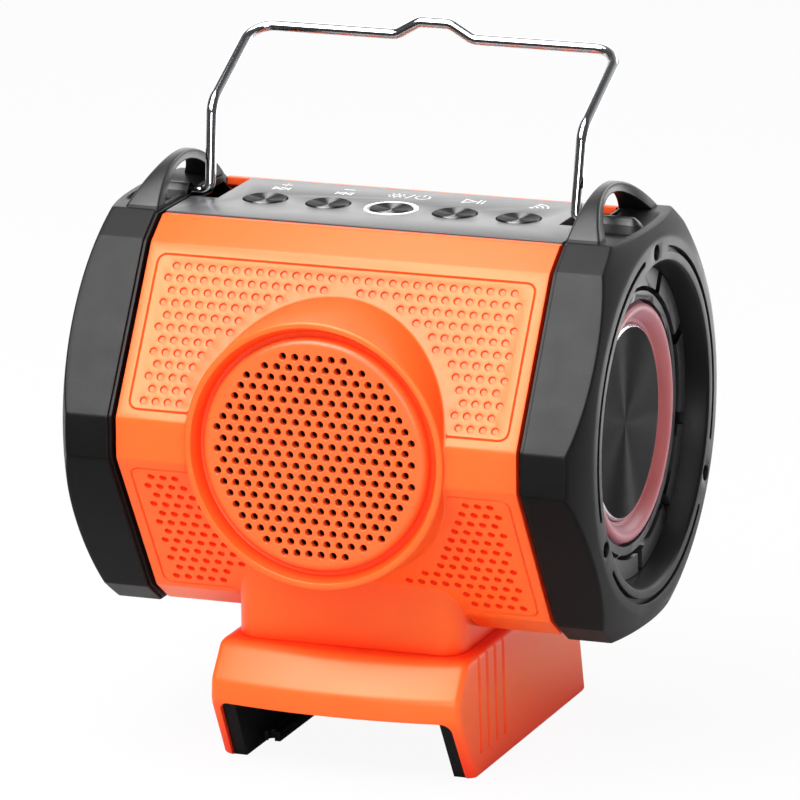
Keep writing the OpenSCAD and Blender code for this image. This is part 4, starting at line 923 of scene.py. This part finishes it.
def stroke(line, x, y):
    """A raised flat stroke of ink along a line on the panel."""
    closed = math.dist(line[0], line[-1]) < 1e-6
    path = [Vector(p) for p in (line[:-1] if closed else line)]
    count, verts, top = len(path), [], CROWN[1] + PANEL_PROUD
    for i, p in enumerate(path):
        a = (p - path[i - 1]).normalized() if closed or i else (path[i + 1] - p).normalized()
        b = (path[(i + 1) % count] - p).normalized() if closed or i < count - 1 else a
        n = Vector((-a.y - b.y, a.x + b.x)) / max(0.35, (1 + a.dot(b))) * SIGN_STROKE / 2
        for q, z in ((p + n, INK_LOW), (p + n, INK_TOP), (p - n, INK_TOP), (p - n, INK_LOW)):
            verts.append((x + q.x, y + q.y, top + z))
    faces, last = grid_faces(count, 4, closed=True), (count - 1) * 4
    if closed:
        faces += [(last + k, last + (k + 1) % 4, (k + 1) % 4, k) for k in range(4)]
    else:
        faces += [(3, 2, 1, 0), tuple(last + k for k in range(4))]
    return verts, faces


for sign in BUTTONS:
    lines = [[(SIGN_SIZE * x, SIGN_SIZE * y) for x, y in line] for line in sign_lines(sign)]
    ink = merged(*[stroke(line, button_x[sign], SIGN_Y) for line in lines])
    add_piece(sign + "_sign", ink, print_white, "housing", "white_plastic", sharp=20)

# Push buttons: five shallow dished metal caps that drop under a thumb onto switches on the board below.
# The middle one is ringed by a clear white light guide that stands just proud of the panel.
BUTTON_R, BUTTON_TOP, BUTTON_FOOT, BUTTON_SIDES = 6.85, 63.1, 57.2, 72
GUIDE_IN, GUIDE_OUT, GUIDE_TOP, GUIDE_FOOT, GUIDE_SIDES = 7.7, 8.75, 62.95, 59.0, 96
button_metal = spun_metal("spun_button_metal", (0.15, 0.15, 0.152), 0.42, 0.97, "Z", 40, DULL_EDGE)
button_profile = [(r, BUTTON_TOP - sunk) for r, sunk in (
    (0.01, 0.6), (2.5, 0.55), (4.6, 0.36), (6.0, 0.12), (6.35, 0.02), (6.5, 0.02), (6.72, 0.16),
    (BUTTON_R, 0.42))]
button_profile += [(BUTTON_R, BUTTON_FOOT), (0.01, BUTTON_FOOT)]
for button in BUTTONS:
    x = button_x[button]
    shape = turned(button_profile, "z", BUTTON_SIDES, (x, 0, 0))
    add_piece(button + "_button_cap", shape, button_metal, button, "button_plastic", [button + "_button"],
              sharp=45, inside=(x, 0, 60))
ring_white = moulded("white_light_guide", (0.86, 0.87, 0.88), 0.25, grain=0.4, deep=0.004, spread=0.03,
                     plain={"Emission Color": WHITE, "Emission Strength": 0.25})
guide_profile = [(GUIDE_IN, GUIDE_FOOT), (GUIDE_IN, GUIDE_TOP - 0.3), (GUIDE_IN + 0.12, GUIDE_TOP - 0.08),
                 (GUIDE_IN + 0.35, GUIDE_TOP), (GUIDE_OUT - 0.35, GUIDE_TOP),
                 (GUIDE_OUT - 0.13, GUIDE_TOP - 0.08), (GUIDE_OUT, GUIDE_TOP - 0.3), (GUIDE_OUT, GUIDE_FOOT)]
guide_shape = turned(guide_profile, "z", GUIDE_SIDES, (button_x["power"], 0, 0))
add_piece("light_ring_guide", guide_shape, ring_white, "housing", "white_plastic", ["light_ring"], sharp=45,
          inside=(button_x["power"], 0, 50))

# Carry handle: one length of chromed steel wire, bent with two raked legs and a small hump for the hand.
# Its ends turn outwards into the end caps' bosses, and it folds about them to the front and to the rear.
WIRE_R, WIRE_SIDES, PIVOT_Z, PIN_END, TIP = 1.7, 28, 63.4, 80.3, 0.5
half_wire = [(PIN_END - TIP, 0, 0), (61.1, 0, 0), (61.9, 4.5, 28), (61.9, 40, 46), (13, 40, 46),
             (5.2, 40, 50.5)]
half_bends = [0, 3, 8, 8, 5, 5]


def bent(corners, radii, steps=14):
    """The middle line of a wire with an arc at each bend."""
    path = [corners[0]]
    for before, corner, after, radius in zip(corners, corners[1:], corners[2:], radii[1:]):
        a, b = (corner - before).normalized(), (after - corner).normalized()
        turn = a.angle(b)
        n = (b - a * a.dot(b)).normalized()
        centre = corner - a * radius * math.tan(turn / 2) + n * radius
        path += [centre - n * radius * math.cos(turn * k / steps) + a * radius * math.sin(turn * k / steps)
                 for k in range(steps + 1)]
    return path + [corners[-1]]


def swept(path, radii, sides):
    """A round bar along a path, closed at both ends."""
    verts, across, last = [], Vector((0, 1, 0)), len(path) - 1
    for i, (p, radius) in enumerate(zip(path, radii)):
        along = (path[min(i + 1, last)] - path[max(i - 1, 0)]).normalized()
        across = (across - along * across.dot(along)).normalized()
        up = along.cross(across)
        verts += [tuple(p + (across * c + up * s) * radius) for c, s in circle(1, sides)]
    ends = [tuple(range(sides))[::-1], tuple(range(last * sides, (last + 1) * sides))]
    return verts, grid_faces(len(path), sides, closed=True) + ends


corners = [Vector(p) for p in half_wire] + [Vector((-x, y, z)) for x, y, z in reversed(half_wire)]
wire_path = bent(corners, half_bends + half_bends[::-1])
tip = Vector((TIP, 0, 0))
wire_path = ([wire_path[0] + tip, wire_path[0] + tip * 0.7] + wire_path
             + [wire_path[-1] - tip * 0.7, wire_path[-1] - tip])
tip_radii = [WIRE_R * 0.6, WIRE_R * 0.88]
wire_radii = tip_radii + [WIRE_R] * (len(wire_path) - 4) + tip_radii[::-1]
chrome = moulded("chromed_wire", (0.62, 0.63, 0.65), 0.09, grain=0.8, deep=0.003, mottle=5, spread=0.04,
                 gloss_spread=0.03, plain={"Metallic": 1.0})
wire = swept([p + Vector((0, 0, PIVOT_Z)) for p in wire_path], wire_radii, WIRE_SIDES)
add_piece("carry_handle_wire", wire, chrome, "carry_handle", "chromed_wire", ["handle"], sharp=50)

# Battery foot: an orange moulding screwed under the neck, with flat flanks and a bowed front that leans back
# to the ground. Four upright grooves are sunk in each flank, and a channel for a slide-on tool battery
# runs in from the front.
BASE_H, BASE_LOW_X, BASE_HIGH_X, BASE_FRONT, BOW_R = 39.5, 42.4, 41.4, 58.4, 200.0
BASE_BACK, REAR_LEAN, BASE_SOFT, LOW_EDGE_R, TOP_EDGE_R, GROUND = 64.0, 7.0, 1.4, 1.2, 2.4, -AXIS.z / MM
CHANNEL_H, CHANNEL_R, CHANNEL_BACK, BASE_WALL = 21, 3.2, 56, 3.2
CORE_X, CORE_FRONT, CORE_TOP = 38.3, -49.6, 30
GROOVE_FIRST, GROOVE_PITCH, GROOVE_W, GROOVE_DEEP, GROOVE_LOW, GROOVE_TOP = -36.9, 7.3, 2.2, 1.1, 6.6, 38.5
FRONT_STOPS = ((0, 12.3), (21.0, 0), (28.0, 0), (BASE_H, 8.3))
WALL_LEVELS = (4, 9, 14, 18, 19.4, 20, 20.5, 21, 21.5, 22, 22.6, 24.5, 26.4, 27, 27.5, 28, 28.5, 29, 29.6,
               32, 35)


def base_half(z):
    return BASE_LOW_X + (BASE_HIGH_X - BASE_LOW_X) * z / BASE_H


def base_setback(z):
    """How far the bowed front stands back at a height, with its creases softened."""
    total = 0.0
    for k in range(-4, 5):
        h = min(max(z + BASE_SOFT * k / 4, 0), BASE_H)
        for low, high in zip(FRONT_STOPS, FRONT_STOPS[1:]):
            if low[0] <= h <= high[0]:
                total += low[1] + (high[1] - low[1]) * (h - low[0]) / (high[0] - low[0])
                break
    return total / 9


def base_loop(z, inset):
    """Outline of the foot at a height: flat flanks and back, bowed front, rounded corners."""
    half, back = base_half(z) - inset, BASE_BACK - REAR_LEAN * z / BASE_H - inset
    bow = BOW_R - base_setback(z) - inset
    corners = [(half, back), (-half, back)]
    for k in range(13):
        x = -half + 2 * half * k / 12
        corners.append((x, BOW_R - BASE_FRONT - math.sqrt(bow ** 2 - x ** 2)))
    return rounded(corners, [4, 4, 2.6] + [0] * 11 + [2.6], 6, closed=True)


def stacked(name, loops):
    """A solid through several loops of points above the ground, closed at its first and last loop."""
    count = len(loops[0])
    verts = [(x, y, GROUND + z) for loop in loops for x, y, z in loop]
    faces = grid_faces(len(loops), count, closed=True)
    faces += [tuple(range(count)), tuple(range(len(verts) - count, len(verts)))]
    return name, verts, faces


def blank(name, verts, faces):
    thing = bpy.data.objects.new(name, joined_mesh(name, verts, faces))
    scene.collection.objects.link(thing)
    return thing


turns = [math.radians(a) for a in (90, 67, 45, 22, 0)]
levels = [(LOW_EDGE_R * (1 - math.sin(a)), LOW_EDGE_R * (1 - math.cos(a))) for a in turns]
levels += [(z, 0.0) for z in WALL_LEVELS]
turns = [math.radians(15 * k) for k in range(7)]
levels += [(BASE_H - TOP_EDGE_R + TOP_EDGE_R * math.sin(a), TOP_EDGE_R * (1 - math.cos(a))) for a in turns]
foot_loops = [[(*p, z) for p in base_loop(z, inset)] for z, inset in levels]
foot = blank(*stacked("battery_foot_blank", foot_loops))
low_x, high_x = base_half(-1) - BASE_WALL, base_half(CHANNEL_H) - BASE_WALL
channel = rounded([(low_x, -1), (high_x, CHANNEL_H), (-high_x, CHANNEL_H), (-low_x, -1)],
                  (0, CHANNEL_R, CHANNEL_R, 0), 8, closed=True)
core = [(CORE_X, CORE_FRONT), (CORE_X, CHANNEL_BACK), (-CORE_X, CHANNEL_BACK), (-CORE_X, CORE_FRONT)]
grooves = []
for side in (-1, 1):
    for k in range(4):
        front, loops = GROOVE_FIRST + GROOVE_PITCH * k, []
        for z, deep in ((GROOVE_LOW, 0.0), (GROOVE_LOW + 0.6, GROOVE_DEEP), (GROOVE_TOP, GROOVE_DEEP)):
            loops.append([(side * (base_half(z) + out), front + wide * GROOVE_W, z) for out, wide in (
                (0.3, -0.15), (0.3, 1.15), (-deep, 0.65), (-deep, 0.35))])
        grooves.append(stacked("groove", loops)[1:])
cutters = [
    blank(*stacked("channel_cutter", [[(p.x, y, p.y) for p in channel] for y in (-70, CHANNEL_BACK)])),
    blank(*stacked("core_cutter", [[(*p, z) for p in core] for z in (CHANNEL_H - 1, CORE_TOP)])),
    blank("groove_cutter", *merged(*grooves))]
for cutter in cutters:
    cut = foot.modifiers.new(cutter.name, "BOOLEAN")
    cut.operation, cut.solver, cut.object = "DIFFERENCE", "EXACT", cutter
foot_mesh = bpy.data.meshes.new_from_object(foot.evaluated_get(bpy.context.evaluated_depsgraph_get()))
for thing in cutters + [foot]:
    bpy.data.objects.remove(thing)
shape = bmesh.new()
shape.from_mesh(foot_mesh)
bmesh.ops.remove_doubles(shape, verts=shape.verts, dist=5e-6)
shape.to_mesh(foot_mesh)
shape.free()
finish_piece("battery_foot", foot_mesh, orange, "housing", "orange_plastic", ["battery_base"], sharp=32)

# Battery cradle and terminals: a black U-shaped liner screwed up into the foot, with a rail down each side,
# and a black block at its rear that holds four brass blades.
LINER_SOFT, BLOCK_SOFT = 0.4, 0.5
cradle_black = moulded("cradle_black_plastic", (0.008, 0.008, 0.009), 0.48, grain=0.5, deep=0.02,
                       spread=0.15, plain={"Specular IOR Level": 0.12})
softened("battery_cradle_liner", "battery_cradle", LINER_SOFT, cradle_black, "housing", "black_plastic")
softened("terminal_block_body", "terminal_block", BLOCK_SOFT, cradle_black, "housing", "black_plastic")


def dress(nodes, material):
    """A CAD node whose shape is right keeps it, and takes a better finish."""
    for node in nodes:
        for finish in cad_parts[node].material_slots:
            finish.link = "OBJECT"
            finish.material = material


def metal(name, colour, roughness):
    return moulded(name, colour, roughness, grain=0.3, deep=0.004, mottle=3, spread=0.1,
                   plain={"Metallic": 1.0})


dress(["terminal_blades"], metal("contact_brass", (0.72, 0.46, 0.17), 0.28))

# Driver and wiring inside the barrel: a black steel basket with its magnet, paper cone and rubber edge
# behind the grille, two green boards, and the leads between them. Only the cone shows, behind the holes.
dress(["driver_cone"],
      moulded("doped_paper_cone", (0.012, 0.012, 0.013), 0.65, grain=0.6, deep=0.05, spread=0.25))
dress(["driver_surround", "driver_gasket"],
      moulded("black_rubber", (0.010, 0.010, 0.011), 0.6, grain=0.3, spread=0.2))
dress(["driver_basket"], metal("black_steel", (0.03, 0.03, 0.032), 0.45))
dress(["driver_magnet"],
      moulded("ferrite_magnet", (0.04, 0.04, 0.043), 0.6, grain=0.5, deep=0.03, spread=0.2))
dress(["control_board", "main_board"],
      moulded("circuit_board", (0.012, 0.10, 0.035), 0.35, grain=1.2, deep=0.02, mottle=5, spread=0.25))
dress(["tact_switches"], cradle_black)
dress(["driver_leads", "power_leads"],
      moulded("lead_jacket", (0.30, 0.03, 0.025), 0.45, grain=0.4, spread=0.1))

# Fasteners: small pan-head screws in blackened steel in the caps and the rear shell, and zinc-plated ones
# inside. Each kind is shared by all the places where it is used.
dress(["cap_screws", "shell_screws"], metal("blackened_screw_steel", (0.10, 0.10, 0.105), 0.38))
dress(["driver_screws", "board_screws", "main_board_screws", "base_screws", "cradle_screws"],
      metal("zinc_screw_steel", (0.46, 0.47, 0.48), 0.30))
